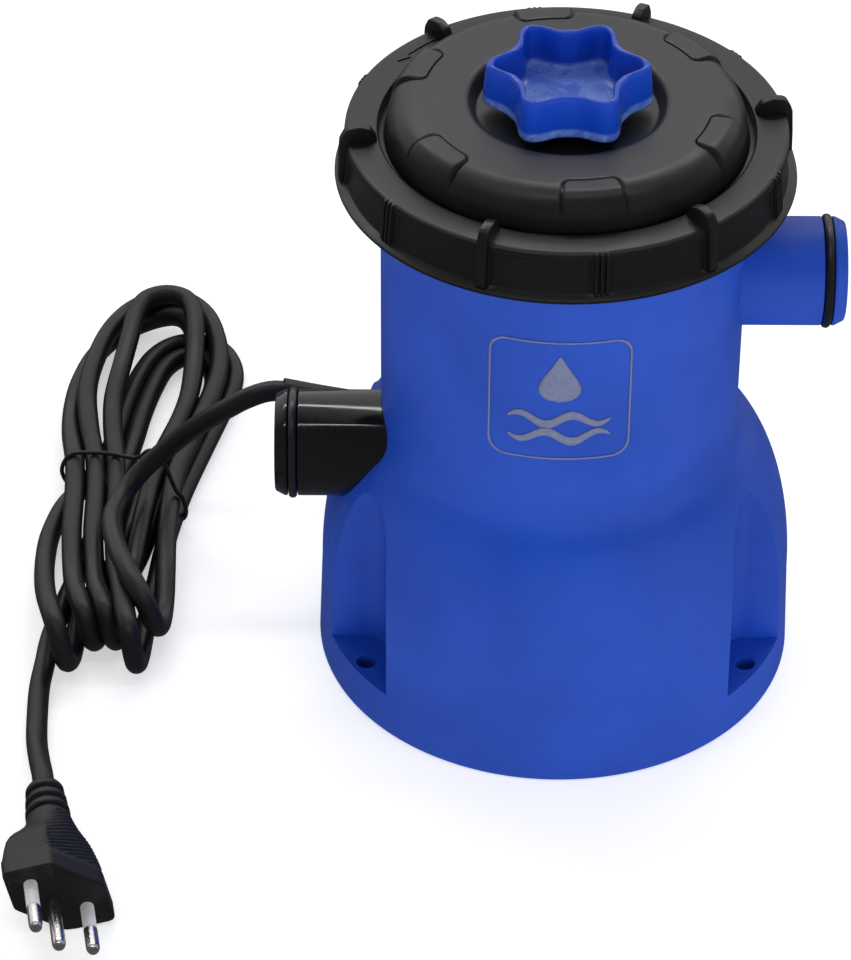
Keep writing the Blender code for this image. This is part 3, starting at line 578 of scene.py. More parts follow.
def shoulder(inset, count):
    """The drafted skirt and the elliptical shoulder, from the floor up."""
    centre = DRAFT_TOP_RADIUS - SHOULDER_WIDTH
    made = [(BASE_RADIUS - inset, 0.0, 1.2 if inset == 0.0 else 0.0)]
    for i in range(count + 1):
        t = SHOULDER_END_ANGLE * i / count
        height = DRAFT_TOP + (SHOULDER_HEIGHT - inset) * sin(t)
        made.append((centre + (SHOULDER_WIDTH - inset) * cos(t), height))
    return made


def shell_profile():
    skirt = shoulder(0.0, 26)
    start = Vector(skirt[-1][:2])
    middle = Vector((NECK_RADIUS, start.y + 3.9))
    blend = bend(start, middle, Vector((NECK_RADIUS, NECK_BLEND_TOP)), [i / 8 for i in range(1, 9)])
    neck = [(NECK_RADIUS, NECK_TOP, 0.7), (NECK_INNER, NECK_TOP, 0.5)]
    chamber = [
        (NECK_INNER, FLOOR_HIGH, 1.5), (18, FLOOR_HIGH, 0.6), (17.4, 98, 0.5), (15.4, 98, 0.5),
        (15, FLOOR_HIGH, 0.5), (12, FLOOR_HIGH), (12, FLOOR_LOW), (NECK_INNER, FLOOR_LOW),
        (NECK_INNER, 79),
    ]
    inner = [p for p in reversed(shoulder(WALL, 14)) if p[0] > NECK_INNER + 2.5]
    return divided(filleted(skirt + blend + neck + chamber + inner, closed=True), 8.0)


def spigot_profile(start, end):
    """Half section of a hose spigot: a straight barrel, an O-ring groove and a chamfered tip."""
    far = end - 3.8
    near = far - 3.0
    groove = SPIGOT_RADIUS - 2.4
    return filleted([
        (0, start), (SPIGOT_RADIUS, start), (SPIGOT_RADIUS, near, 0.5), (groove, near, 0.3),
        (groove, far, 0.3), (SPIGOT_RADIUS, far, 0.5), (SPIGOT_RADIUS, end - 2.9, 1.6),
        (SPIGOT_RADIUS - 1.5, end, 1), (0, end),
    ])


def rod(name, radius, low, high, place=Matrix(), steps=64):
    return revolve(name, [(0, low), (radius, low), (radius, high), (0, high)], None, steps, place)


def block(name, low, high):
    outline = [(low[0], low[1]), (high[0], low[1]), (high[0], high[1]), (low[0], high[1])]
    return prism(name, outline, low[2], high[2], None)


def pocket_cutter(name, sx, sy, top):
    """A foot pocket: rounded inner corner, and a top that closes in a soft curve."""
    corner = arc((POCKET_X + POCKET_ROUND, POCKET_Y + POCKET_ROUND), POCKET_ROUND, pi, 1.5 * pi, 10)
    levels = [(POCKET_FLOOR, 0.0), (top - 9.0, 0.0)]
    for i in range(1, 9):
        t = i / 8 * pi / 2
        levels.append((top - 9.0 + 9.0 * sin(t), 3.2 * (1 - cos(t))))
    rings = []
    for z, shift in levels:
        outline = [(x + shift * 0.7, y + shift * 0.7) for x, y in corner]
        outline += [(95.0, POCKET_Y + shift * 0.7), (95.0, 95.0), (POCKET_X + shift * 0.7, 95.0)]
        rings.append([(sx * x, sy * y, z) for x, y in outline])
    return skin(name, rings, None, caps=True)


def housing():
    body = revolve("housing_shell", shell_profile(), BODY_BLUE, 176)
    inside = shoulder(0.4, 20)
    envelope_profile = [(0.0, -5.0), (BASE_RADIUS - 0.4, -5.0)] + [p[:2] for p in inside] + [(0.0, 70.0)]
    joined = [revolve("inlet_barrel", spigot_profile(50.8, INLET_END), BODY_BLUE, 96, INLET)]
    boss = filleted([(0.0, -7.0), (9.6, -7.0), (8.8, 0.9, 1.2), (5.6, 0.9, 0.4), (5.6, -0.5), (0.0, -0.5)])
    joined.append(revolve("gland_boss", boss, BODY_BLUE, 48, CORD_EXIT))
    cut = [
        rod("inlet_bore", BORE_RADIUS, 40.0, 90.0, INLET),
        rod("outlet_hole", SPIGOT_RADIUS + 0.12, 45.5, 95.0, OUTLET, 128),
        rod("outlet_neck_hole", 10.7, 42.0, 56.0, OUTLET),
        rod("gland_hole", 5.0, -18.0, 12.0, CORD_EXIT, 32),
    ]
    for sx in (-1, 1):
        for sy in (-1, 1):
            tag = f"{sx}_{sy}"
            top = POCKET_TOP_REAR if sy > 0 else POCKET_TOP_FRONT
            xs = sorted((sx * (POCKET_X + 0.6 - WALL), sx * 80.0))
            ys = sorted((sy * (POCKET_Y + 0.7 - WALL), sy * 80.0))
            walls = block(f"walls_{tag}", (xs[0], ys[0], 0.2), (xs[1], ys[1], top + WALL))
            envelope = revolve(f"envelope_{tag}", envelope_profile, None, 176)
            joined.append(combine(walls, [envelope], "INTERSECT"))
            at = Matrix.Translation((sx * BASE_SCREW_AT[0], sy * BASE_SCREW_AT[1], 0.0))
            joined.append(rod(f"boss_{tag}", 4.6, 4.4, 16.0, at, 24))
            cut.append(pocket_cutter(f"pocket_{tag}", sx, sy, top))
            hole = Matrix.Translation((sx * FOOT_HOLE[0], sy * FOOT_HOLE[1], 0.0))
            cut.append(rod(f"foot_hole_{tag}", 3.1, -2.0, 20.0, hole, 32))
            cut.append(rod(f"pilot_{tag}", 1.9, 0.0, 14.0, at, 16))
    for i in range(4):
        at = pump_screw_place(i)
        joined.append(rod(f"pump_boss_{i}", 4.2, 86.1, 89.5, at, 24))
        cut.append(rod(f"pump_pilot_{i}", 1.8, 80.0, 90.2, at, 16))
    combine(body, joined, "UNION")
    combine(body, cut, "DIFFERENCE")
    return softened(body, 0.55, 2, 34)


put(housing(), "root", "body_blue", "housing")

# A two-start thread on the neck, which the lock ring screws down on
NECK_RIDGE = [(-1.0, -1.9), (0.9, -1.0), (1.7, -0.55), (1.7, 0.55), (0.9, 1.0), (-1.0, 1.9)]
for i, start in enumerate((0.0, pi)):
    ridge = thread(f"neck_thread_{i}", NECK_RIDGE, NECK_RADIUS, 1, start, 1.1, 164.5, 9.6, 12.0, 300)
    put(ridge, "root", "body_blue")


# Emblem on the neck: a thin rounded frame round a water drop and two waves


def wrapped(name, rows):
    """A thin print on the neck. Rows hold (along, height) points, and along is measured round the neck."""
    bm = bmesh.new()
    radius = NECK_RADIUS + 0.03
    grid = []
    for row in rows:
        turned = [(s / NECK_RADIUS, z) for s, z in row]
        grid.append([bm.verts.new((radius * sin(t), -radius * cos(t), z)) for t, z in turned])
    for a, b in zip(grid, grid[1:]):
        for i in range(len(a) - 1):
            bm.faces.new((a[i], a[i + 1], b[i + 1], b[i]))
    bmesh.ops.remove_doubles(bm, verts=bm.verts, dist=0.0005)
    put(thickened(finished(name, bm, PRINT_SILVER), 0.18, 1.0), "root", "body_blue")


EMBLEM = (-1.9, 128.4)  # its middle, round the neck and up
EMBLEM_HALF = (20.8, 20.9)


def rounded_loop(half_x, half_y, radius, centre):
    made = []
    for sx, sy, start in ((1, 1, 0.0), (-1, 1, pi / 2), (-1, -1, pi), (1, -1, 1.5 * pi)):
        middle = (centre[0] + sx * (half_x - radius), centre[1] + sy * (half_y - radius))
        made += arc(middle, radius, start, start + pi / 2, 8)
    return divided(made, 2.0)


def emblem():
    outer = rounded_loop(*EMBLEM_HALF, 5.2, EMBLEM)
    inner = []
    for x, y in outer:
        toward = Vector((EMBLEM[0] - x, EMBLEM[1] - y))
        inner.append((x + 0.55 * toward.x / EMBLEM_HALF[0], y + 0.55 * toward.y / EMBLEM_HALF[1]))
    wrapped("emblem_frame", [outer + outer[:1], inner + inner[:1]])
    drop = []
    for i in range(25):
        t = i / 24
        height = EMBLEM[1] + 16.2 - 16.4 * t
        half = 7.6 * sqrt(max(0.0, sin(pi * t**1.55))) * (0.35 + 0.65 * t)
        drop.append([(EMBLEM[0] + half * (2 * k / 8 - 1), height) for k in range(9)])
    wrapped("emblem_drop", drop)
    for n, low in enumerate((-6.6, -12.6)):
        band = []
        for i in range(41):
            t = i / 40
            x = EMBLEM[0] + 15.2 * (2 * t - 1)
            wave = 1.7 * sin(2 * tau * t + n * pi)
            thick = 3.1 * sin(pi * t) ** 0.45
            band.append([(x, EMBLEM[1] + low + wave + thick * (k / 3 - 0.5)) for k in range(4)])
        wrapped(f"emblem_wave_{n}", band)


emblem()


# Pump body, whose outlet spigot shows through the housing


def pump_body():
    cup = filleted([
        (0, 12), (15.6, 12, 1.5), (15.6, 62, 1), (31.5, 62, 1.5), (31.5, 85.7, 0.4),
        (29.3, 85.7, 0.4), (29.3, 64.4, 1), (13.6, 64.4, 1), (13.6, 14.2, 1), (0, 14.2),
    ])
    body = revolve("pump_body_shell", cup, PUMP_BLACK, 96)
    neck = [(0, 30.3), (10.0, 30.3), (10.0, 55.5), (0, 55.5)]
    bore = [(0, 24.0), (7.5, 24.0), (7.5, 52.0, 3.0)]
    bore += [(BORE_RADIUS, 60.0, 3.0), (BORE_RADIUS, 90.0), (0, 90.0)]
    joined = [
        revolve("outlet_barrel", spigot_profile(46.5, OUTLET_END), PUMP_BLACK, 128, OUTLET),
        revolve("outlet_neck", neck, PUMP_BLACK, 48, OUTLET),
    ]
    cut = [revolve("outlet_bore", filleted(bore), None, 96, OUTLET)]
    for i in range(4):
        at = pump_screw_place(i)
        joined.append(rod(f"ear_{i}", 4.2, 81.2, 85.4, at, 32))
        web = block(f"web_{i}", (30.4, -3.0, 81.7), (35.0, 3.0, 84.9))
        web.data.transform(pump_screw_turn(i))
        joined.append(web)
        cut.append(rod(f"ear_hole_{i}", 1.8, 78.0, 88.0, at, 16))
    combine(body, joined, "UNION")
    combine(body, cut, "DIFFERENCE")
    return softened(body, 0.35, 2, 40)


put(pump_body(), "root", "pump_black", "pump_body")


# Seals


def seal(name, outer, inner, low, high, place, body, node):
    middle = (low + high) / 2
    half = (high - low) / 2
    bulge = [pi * (k / 14 - 0.5) for k in range(15)]
    crown = [(outer - half * 0.75 * (1 - cos(t)), middle + half * sin(t)) for t in bulge]
    section = filleted([(inner, low, 0.3), *crown, (inner, high, 0.3)], closed=True, steps=3)
    put(revolve(name, section, RUBBER, 128, place), body, "seal_rubber", node)


for name, end, place in (("inlet", INLET_END, INLET), ("outlet", OUTLET_END, OUTLET)):
    seal(f"{name}_seal", 16.75, 13.9, end - 6.5, end - 4.1, place, "root", f"{name}_oring")
seal("lid_seal", 55.6, 50.6, 179.6, 181.0, Matrix(), "lid", "cover_gasket")
seal("valve_seal", 8.6, 5.9, 192.3, 194.6, Matrix(), "valve", "air_valve_oring")


# Lock ring: recessed panels, groups of three ribs, a rim lip and six thumb fins

RIB_TURNS = (-1.45, 0.0, 1.45)


def ring_angles():
    """Angles round the ring, in degrees, with close steps where panels and ribs have edges."""
    made = []
    for sector in range(6):
        start = 7.5 + 60.0 * sector
        marks = [0.0, 1.9, 2.1, 2.45]
        marks += [2.45 + 24.0 * k / 16 for k in range(1, 17)]
        marks += [27.0, 27.35]
        for rib in RIB_TURNS:
            middle = 30.0 + rib
            marks += [middle - 0.50, middle - 0.32, middle + 0.32, middle + 0.50]
        marks += [32.65, 33.0]
        marks += [33.55 + 24.0 * k / 16 for k in range(16)]
        marks += [57.55, 57.9, 58.1]
        made += [start + m for m in marks]
    return made


def ring_offset(angle):
    """How far the ring's wall stands out at this angle: (in the panel's height, in the band above)."""
    place = (angle - 7.5) % 60.0
    side = min(place, 60.0 - place)
    from_ribs = abs(place - 30.0)
    rib = any(abs(place - 30.0 - r) <= 0.33 for r in RIB_TURNS)
    if side < 2.2 or 2.8 < from_ribs < 3.0:
        return 0.0, 0.0
    if from_ribs <= 2.8:
        return (0.75, 0.55) if rib else (-0.35, 0.0)
    return -0.85, 0.0


def lock_ring():
    outer = [
        (66.2, 172, 0, 0), (66.45, 172.3, 0, 0), (66.3, 172.9, 0, 0),
        (65.6, 173.3, 0, 0), (64.8, 173.6, 0.1, 0), (64.5, 174, 0.7, 0),
        (64.4, 174.6, 1, 0), (63.95, 179.5, 1, 0), (63.7, 183.9, 1, 0),
        (63.66, 184.4, 0.7, 0.3), (63.63, 184.8, 0, 1), (63.5, 185.9, 0, 1),
        (63.3, 186.5, 0, 1), (62.8, 186.9, 0, 0.8), (62.1, 187.05, 0, 0),
    ]
    inner = filleted([
        (62.1, 187.05), (58, 187), (53.9, 187, 0.9), (53.9, 184, 0.5), (57.6, 184, 0.6),
        (57.6, 172, 0.4), (66.2, 172),
    ])
    angles = [(radians(a), *ring_offset(a)) for a in ring_angles()]
    rings = []
    for r, z, low, high in outer:
        rings.append([polar(r + panel * low + band * high, a, z) for a, panel, band in angles])
    rings += [[polar(r, a, z) for a, panel, band in angles] for r, z in inner[1:-1]]
    return skin("lock_ring", rings, COLLAR_BLACK, closed=True, sharp=32)


def thumb_fin(i):
    """A curved tab on the ring's top edge, which runs on down the wall as a rib."""
    outline = filleted([
        (54.6, 186.2), (54.7, 187.9, 0.8), (56.4, 190.8, 1.8), (59.6, 191.9, 3),
        (63.4, 191.2, 2.6), (65.3, 187.6, 3), (65.75, 180), (65.9, 173.6, 0.8), (62, 173.4),
        (62, 186.2),
    ], closed=True, steps=4)
    turn = Matrix.Rotation(FIN_START + i * tau / 6, 4, "Z")
    upright = Matrix(((1, 0, 0, 0), (0, 0, -1, 0), (0, 1, 0, 0), (0, 0, 0, 1)))
    fin = prism(f"thumb_fin_{i + 1}", outline, -1.55, 1.55, COLLAR_BLACK, turn @ upright)
    return softened(fin, 0.5, 3, 40)


def turn_arrow():
    """A raised arrow on the ring's top face that shows which way it opens."""
    middle, start, end, tip = 58.6, 128.0, 142.0, 146.0
    turns = [start + (end - start) * k / 10 for k in range(11)]
    outline = [(middle - 0.55, a) for a in turns]
    outline += [(middle - 1.9, end), (middle, tip), (middle + 1.9, end)]
    outline += [(middle + 0.55, a) for a in reversed(turns)]
    rings = [[polar(r, radians(a), z) for r, a in outline] for z in (186.9, 187.35)]
    return skin("turn_arrow", rings, COLLAR_BLACK, caps=True)


RING_RIDGE = [(0.6, -1.6), (-1.0, -0.7), (-1.6, -0.4), (-1.6, 0.4), (-1.0, 0.7), (0.6, 1.6)]
put(lock_ring(), "collar", "lid_black", "lock_collar")
for i in range(6):
    put(thumb_fin(i), "collar", "lid_black")
ridge = thread("ring_thread", RING_RIDGE, 57.6, -1, 0.0, 1.05, 174.6, 4.2, 14.0, 260)
put(ridge, "collar", "lid_black")
put(turn_arrow(), "collar", "lid_black")


# Lid: a domed cover whose round shoulder carries six raised pads, each outlined by a fine groove

PAD_TURN = -82.6
PAD_IN = 41.4
PAD_HALF = radians(10.5)
PAD_CORNER = 2.2
GROOVE_DEPTH = 0.9
GROOVE_WIDTH = 0.48
SHOULDER_LOW = 188.2


def pad_distance(r, angle):
    """Signed distance in mm from a pad's outline: negative inside."""
    off = (degrees(angle) - PAD_TURN + 30.0) % 60.0 - 30.0
    across = abs(radians(off)) * r - PAD_HALF * r
    along = PAD_IN - r
    dx, dy = across + PAD_CORNER, along + PAD_CORNER
    outside = sqrt(max(dx, 0.0) ** 2 + max(dy, 0.0) ** 2)
    return outside + min(max(dx, dy), 0.0) - PAD_CORNER


def smooth(x):
    x = min(1.0, max(0.0, x))
    return x * x * (3 - 2 * x)


def dome_line(split, crown, out, top, drop):
    """The lid's upper half section: flat as far as crown, then a round shoulder."""
    made = []
    for i in range(61):
        t = i / 60
        a = (t - split) / (1 - split) * pi / 2
        if t < split:
            made.append((33.0 + (crown - 33.0) * t / split, top))
        else:
            made.append((crown + out * sin(a), SHOULDER_LOW + drop * cos(a)))
    return made


def lid():
    plain_line = dome_line(0.35, 42.9, 8.5, COVER_TOP, 8.4)
    pad_line = dome_line(0.5, 46.0, 5.6, COVER_TOP + 0.15, 8.55)
    steps = 720
    entry = [(5.6, 184.0), (5.6, RECESS_FLOOR, 0.4), (RECESS_RADIUS - 0.4, RECESS_FLOOR, 1.2)]
    entry += [(28.6, COVER_TOP, 2.6), (33.0, COVER_TOP)]
    rings = [circle(r, z, steps) for r, z in filleted(entry, steps=7)[:-1]]
    for (r0, z0), (r1, z1) in zip(plain_line, pad_line):
        ring = []
        for k in range(steps):
            turn = tau * k / steps
            d = pad_distance(0.5 * (r0 + r1), turn)
            inside = smooth(0.5 - d / 0.9)
            r = r0 + (r1 - r0) * inside
            z = z0 + (z1 - z0) * inside
            fall = smooth((52.0 - r) / 2.2)
            depth = GROOVE_DEPTH * exp(-((d / GROOVE_WIDTH) ** 2)) * fall
            lean = min(1.0, max(0.0, (r - 43.0) / 8.4))
            r -= depth * lean
            z -= depth * sqrt(1 - lean * lean)
            ring.append(polar(r, turn, z))
        rings.append(ring)
    under = filleted([
        (51.9, 186), (51.9, 183.7, 0.8), (56.4, 183.7, 0.5), (56.4, 181.3, 0.4),
        (49.8, 181.3, 0.3), (49.8, 176, 0.6), (47.4, 176, 0.6), (48, 184.5, 2),
        (46.8, 190.1, 2), (40, 193.6, 2), (29.1, 193.8, 1), (24.5, 189.2, 1),
        (8.8, 189.2, 0.6), (8.8, 184, 0.4), (5.6, 184),
    ], steps=3)
    rings += [circle(r, z, steps) for r, z in under[:-1]]
    return skin("lid_dome", rings, LID_BLACK, closed=True, sharp=40)


put(lid(), "lid", "lid_black", "cover")


# Star knob


def lobe_radius(turn):
    wave = 0.5 + 0.5 * cos(6 * turn)
    return 19.0 + 5.3 * wave**1.6


def knob():
    count = 360
    rim = KNOB_TOP
    floor = KNOB_LOW + 1.7
    section = [(9.0, KNOB_LOW), (1.0, KNOB_LOW), (0.25, KNOB_LOW + 0.3), (0.0, KNOB_LOW + 1.0)]
    section += [(0.085 * (z - KNOB_LOW - 1.0), z) for z in (KNOB_LOW + 4.0, KNOB_LOW + 8.0, rim - 1.3)]
    outer_at = section[-1][0]
    for k in range(1, 8):
        t = pi * k / 8
        section.append((outer_at + 1.2 * (1 - cos(t)), rim - 1.3 + 1.3 * sin(t)))
    inner_at = section[-1][0] + 0.05
    for z in (rim - 2.6, rim - 5.0, rim - 8.0, floor + 2.0):
        section.append((inner_at + 0.08 * (rim - 1.3 - z), z))
    last = section[-1][0]
    foot = ((0.35, 1.0), (0.9, 0.35), (1.8, 0.06), (3.0, 0.0))
    section += [(last + inward, floor + up) for inward, up in foot]
    rings = [[(0.0, 0.0, KNOB_LOW)]]
    turns = [tau * k / count for k in range(count)]
    rings += [[polar(lobe_radius(t) - inset, t, z) for t in turns] for inset, z in section]
    for share in (0.6, 0.3):
        rings.append([(share * x, share * y, floor) for x, y, z in rings[-1]])
    rings.append([(0.0, 0.0, floor)])
    return skin("star_knob", rings, KNOB_BLUE, sharp=60)


def knob_stem():
    line = [(0, 178.0), (4.2, 178.0, 0.3), (5.2, 179.5, 0.3), (5.2, 190.0), (5.2, 194.9, 0.4)]
    line += [(9.8, 194.9, 0.3), (9.8, 195.6), (0, 195.6)]
    return revolve("knob_stem", filleted(line), KNOB_BLUE, 64)


put(knob(), "knob", "knob_blue", "air_valve_knob")
put(knob_stem(), "knob", "knob_blue")


# Filter cartridge: finer pleats than the CAD, soft caps and a pierced core


def cartridge():
    low, high = 97.0, 178.6
    for name, inner, a, b, node in (
        ("bottom_cap", 18.5, 92, low, "cartridge_bottom_cap"),
        ("top_cap", 12, high, 183.6, "cartridge_top_cap"),
    ):
        line = filleted([(inner, a, 1.0), (40.3, a, 1.4), (40.3, b, 1.4), (inner, b, 1.0)], closed=True)
        put(revolve(name, line, CAP_VINYL, 128), "cartridge", "cap_vinyl", node)
    folds = 72
    steps = folds * 8
    rings = []
    for z in [low + 0.3 + (high - low - 0.6) * k / 10 for k in range(11)]:
        ring = []
        for i in range(steps):
            turn = tau * i / steps
            wave = abs((folds * turn / tau) % 1.0 * 2 - 1)
            crest = 24.0 + 15.0 * smooth(wave * 1.15 - 0.05)
            ring.append(polar(crest + 0.25 * sin(0.13 * z + 5 * turn), turn, z))
        rings.append(ring)
    pleats = thickened(skin("pleated_paper", rings, PAPER, sharp=80), 0.3)
    put(pleats, "cartridge", "filter_paper", "cartridge_pleats")
    for k, z in enumerate((118.0, 138.0, 158.0)):
        band = [(39.0, z - 1.0), (39.35, z - 0.8), (39.35, z + 0.8), (39.0, z + 1.0)]
        put(revolve(f"pleat_band_{k}", band, WHITE_PLASTIC, 96), "cartridge", "filter_paper")
    bm = bmesh.new()
    columns, rows = 48, 30
    grid = []
    for j in range(rows + 1):
        z = low + 1.1 + (high - low - 2.2) * j / rows
        grid.append([bm.verts.new(p) for p in circle(21.0, z, columns)])
    for j in range(rows):
        for i in range(columns):
            if j % 3 == 1 and i % 3 == 1:
                continue
            k = (i + 1) % columns
            bm.faces.new((grid[j][i], grid[j][k], grid[j + 1][k], grid[j + 1][i]))
    core = thickened(finished("pierced_core", bm, WHITE_PLASTIC), 1.6, 0.0)
    put(core, "cartridge", "core_white", "cartridge_core")


cartridge()


# Cord: from the sleeve, over the bundle, five turns of the tied hank, and out to the plug

LEAD = (
    (-82.9, 38.88, 61.02), (-86.6, 38.3, 61.8), (-90.5, 37.8, 61.4), (-94.2, 37.6, 59.9),
    (-97.6, 37.9, 57.8), (-100.5, 38.6, 55.3), (-103.4, 39.8, 52.5), (-106.4, 41.3, 49.3),
    (-109.2, 43.2, 45.9), (-114.4, 46.9, 39), (-119.2, 49.1, 32.9), (-124, 49.8, 27.5),
    (-128, 48.9, 23.9),
)
TURN_1 = (
    (-131.6, 46.4, 21), (-134.8, 42.4, 18.8), (-137.3, 36.4, 17.8), (-138.5, 28.5, 18.4),
    (-137.6, 19, 20), (-135.4, 9, 21.8), (-132.2, -1, 23), (-128.5, -9.4, 22.4),
    (-125.2, -15, 19.4), (-123.2, -17, 14.6), (-121.8, -13.6, 9.8), (-121.2, -6, 7.6),
    (-121, 3, 8), (-121.2, 14, 9.4), (-121.6, 28, 9.9), (-121.4, 44, 9.9),
    (-120.2, 62, 9.5), (-115.6, 82, 9.5), (-110.8, 102, 9.9), (-108.8, 118, 9.9),
    (-110, 134, 10.2), (-115, 149, 10.2), (-125, 157.6, 10), (-137, 153, 10),
    (-145.5, 140, 10), (-150, 122, 10), (-151.5, 105, 9.9), (-149.6, 86, 9.9),
    (-146.6, 68, 9.9),
)
TURN_2 = (
    (-145.4, 50, 9.9), (-145, 32, 9.9), (-143.4, 14, 10.4), (-141.8, 1, 13.6),
    (-139.8, -8, 16.6), (-138, -14.6, 16.4), (-136.4, -18.4, 11.6), (-135.2, -16.2, 6.2),
    (-134.4, -9.6, 3.8), (-133.6, 0, 5), (-132.4, 9, 7.4), (-131.5, 17, 9.6),
    (-130.4, 30, 9.9), (-129, 46, 9.8), (-127.2, 62, 9.4), (-122.4, 82, 9.4),
    (-118.2, 100, 10.2), (-117, 116, 12), (-117, 131, 14.8), (-118, 141.5, 16.2),
    (-121, 148.4, 16.4), (-127.5, 151, 16.4), (-134, 148.2, 16.2), (-137.2, 141, 15.6),
    (-138.8, 130, 14), (-140.6, 118, 12), (-142.6, 102, 10.2), (-142, 86, 9.9),
    (-140, 68, 9.9),
)
TURN_3 = (
    (-138.8, 50, 9.9), (-138.4, 36, 9.9), (-137.6, 24, 10.4), (-136.6, 14, 12.4),
    (-134.6, 1, 15.2), (-132.8, -11, 18.2), (-131.2, -20.6, 19.2), (-129.8, -26.6, 17),
    (-128.8, -29.2, 11.6), (-128.2, -26.8, 6), (-127.6, -20.4, 3.6), (-126.8, -9, 3.4),
    (-125.4, 4, 3.4), (-124.1, 17, 3.4), (-122.8, 31, 3.4), (-120.7, 46, 3.4),
    (-117.6, 62, 3.4), (-112.6, 82, 3.4), (-107.4, 102, 3.4), (-104.2, 116, 3.4),
    (-104.4, 127, 3.4), (-108.4, 136.2, 3.4), (-115.6, 140.8, 3.4), (-124, 139.8, 3.4),
    (-131, 133, 3.4), (-136, 120, 3.4), (-139.4, 104, 3.4), (-141.4, 90, 3.4),
    (-144.6, 76, 3.4), (-150.4, 63, 3.4),
)
TURN_4 = (
    (-156, 52, 3.5), (-159.2, 38, 4), (-159.7, 24, 6), (-158.8, 9, 10),
    (-157, -5, 15), (-154.8, -16, 18.6), (-152.6, -23.6, 18.2), (-150.6, -28.6, 13.2),
    (-149.4, -27.6, 7.4), (-148.6, -21.4, 4), (-148, -12, 3.4), (-147.4, -3, 3.4),
    (-145.6, 5, 3.4), (-142.6, 12, 3.4), (-139.6, 19, 3.4), (-136.6, 30, 3.4),
    (-133.6, 46, 3.4), (-130.6, 62, 3.4), (-125.4, 82, 3.4), (-120, 102, 3.6),
    (-117.4, 117, 6), (-117.2, 130, 8.6), (-119, 142, 9.4), (-124.2, 150.4, 7.4),
    (-132.6, 152.6, 4.4), (-142.6, 146, 3.6), (-150.6, 134, 3.4), (-155, 119, 3.4),
    (-156.4, 103, 4.2), (-155.6, 86, 7.2), (-153.2, 68, 9.7),
)
TURN_5 = (
    (-152.2, 50, 9.9), (-151.8, 32, 9.9), (-150.2, 13, 10.4), (-148.4, 0, 13.4),
    (-146.4, -8.6, 16.2), (-144.6, -15, 15.8), (-143, -18.6, 11.2), (-141.8, -16.4, 6),
    (-141, -9.8, 3.8), (-139.6, 1, 3.4), (-136.8, 9, 3.4), (-133.8, 16.5, 3.4),
    (-130.4, 28, 3.4), (-127.1, 46, 3.4), (-124.1, 62, 3.4), (-119, 82, 3.4),
    (-113.8, 102, 3.4), (-110.8, 115, 3.4), (-111.2, 124, 3.4), (-114.8, 131, 3.4),
    (-121, 133, 3.4), (-126.8, 127, 3.4), (-130.6, 115, 3.4), (-133.4, 101, 3.4),
    (-135.2, 88, 3.4), (-137.6, 74, 3.4), (-141.4, 58, 3.4),
)
TAIL = (
    (-145, 40, 3.4), (-148.8, 21, 3.4), (-152.8, 3, 3.4), (-155.6, -12, 3.5),
    (-156.6, -24.6, 3.6), (-157.4, -35, 3.4), (-157.2, -47, 3.4), (-156.4, -60, 4.2),
    (-154.6, -72.2, 7.4), (-152.8, -81.9, 10.1), (-151.75, -88.75, 10.86),
)
TIE = (
    (-157.3, 66.6, 6), (-156.4, 66.8, 11), (-153.5, 67.2, 13.7), (-148.5, 67.6, 13.9),
    (-144, 67.4, 13.9), (-139.6, 66.6, 13.9), (-135.5, 65.2, 14), (-131.8, 62, 16.6),
    (-128.8, 56, 23.6), (-126.4, 50.4, 28), (-123, 46.6, 27), (-120.6, 47, 19),
    (-119.2, 47.6, 14.2), (-117.3, 47.4, 11.4), (-116.4, 47.6, 5.5), (-118.6, 49.6, 0.9),
    (-125, 53, 0.8), (-134, 58.5, 0.8), (-145, 63, 0.8), (-154, 66, 0.9),
)


def spline(points, spacing, closed=False):
    """Points about spacing apart on a smooth curve through the given ones."""
    route = [Vector(p) for p in points]
    if closed:
        route = [route[-1]] + route + [route[0], route[1]]
    else:
        route = [2 * route[0] - route[1]] + route + [2 * route[-1] - route[-2]]
    made = []
    for a, b, c, d in zip(route, route[1:], route[2:], route[3:]):
        steps = max(2, ceil((c - b).length / spacing))
        for i in range(steps):
            t = i / steps
            cubic = (3 * b - a - 3 * c + d) * t**3
            square = (2 * a - 5 * b + 4 * c - d) * t**2
            made.append(0.5 * (2 * b + (c - a) * t + square + cubic))
    if not closed:
        made.append(route[-2])
    return made


def tube(name, points, radius, closed=False):
    curve = bpy.data.curves.new(name, "CURVE")
    curve.dimensions = "3D"
    curve.bevel_depth = radius * MM
    curve.bevel_resolution = 8
    curve.use_fill_caps = not closed
    line = curve.splines.new("POLY")
    line.points.add(len(points) - 1)
    for knot, place in zip(line.points, points):
        knot.co = (*(Vector(place) * MM), 1.0)
    line.use_cyclic_u = closed
    line.use_smooth = True
    curve.materials.append(CORD_BLACK.material)
    made = bpy.data.objects.new(name, curve)
    scene.collection.objects.link(made)
    return made


# Strain relief: a flange and a tapered sleeve, whose mouth holds the cord's first millimetres


def strain_relief():
    outline = [(0, -15.0), (8.0, -15.0, 0.4), (8.0, -13.0, 0.4), (4.7, -13.0, 0.3), (4.7, 4.0, 3.0)]
    outline += [(4.2, 18.0, 3.0), (4.05, SLEEVE_END, 0.4), (3.5, SLEEVE_END, 0.2)]
    outline += [(3.5, SLEEVE_END - SLEEVE_MOUTH), (0, SLEEVE_END - SLEEVE_MOUTH)]
    return revolve("cord_sleeve", filleted(outline, steps=4), PLUG_BLACK, 64, CORD_EXIT)


sleeve = put(strain_relief(), "root", "cord_pvc", "cord_strain_relief")


# Plug: ringed tail, flat six-sided body with a ribbed grip, and three pins


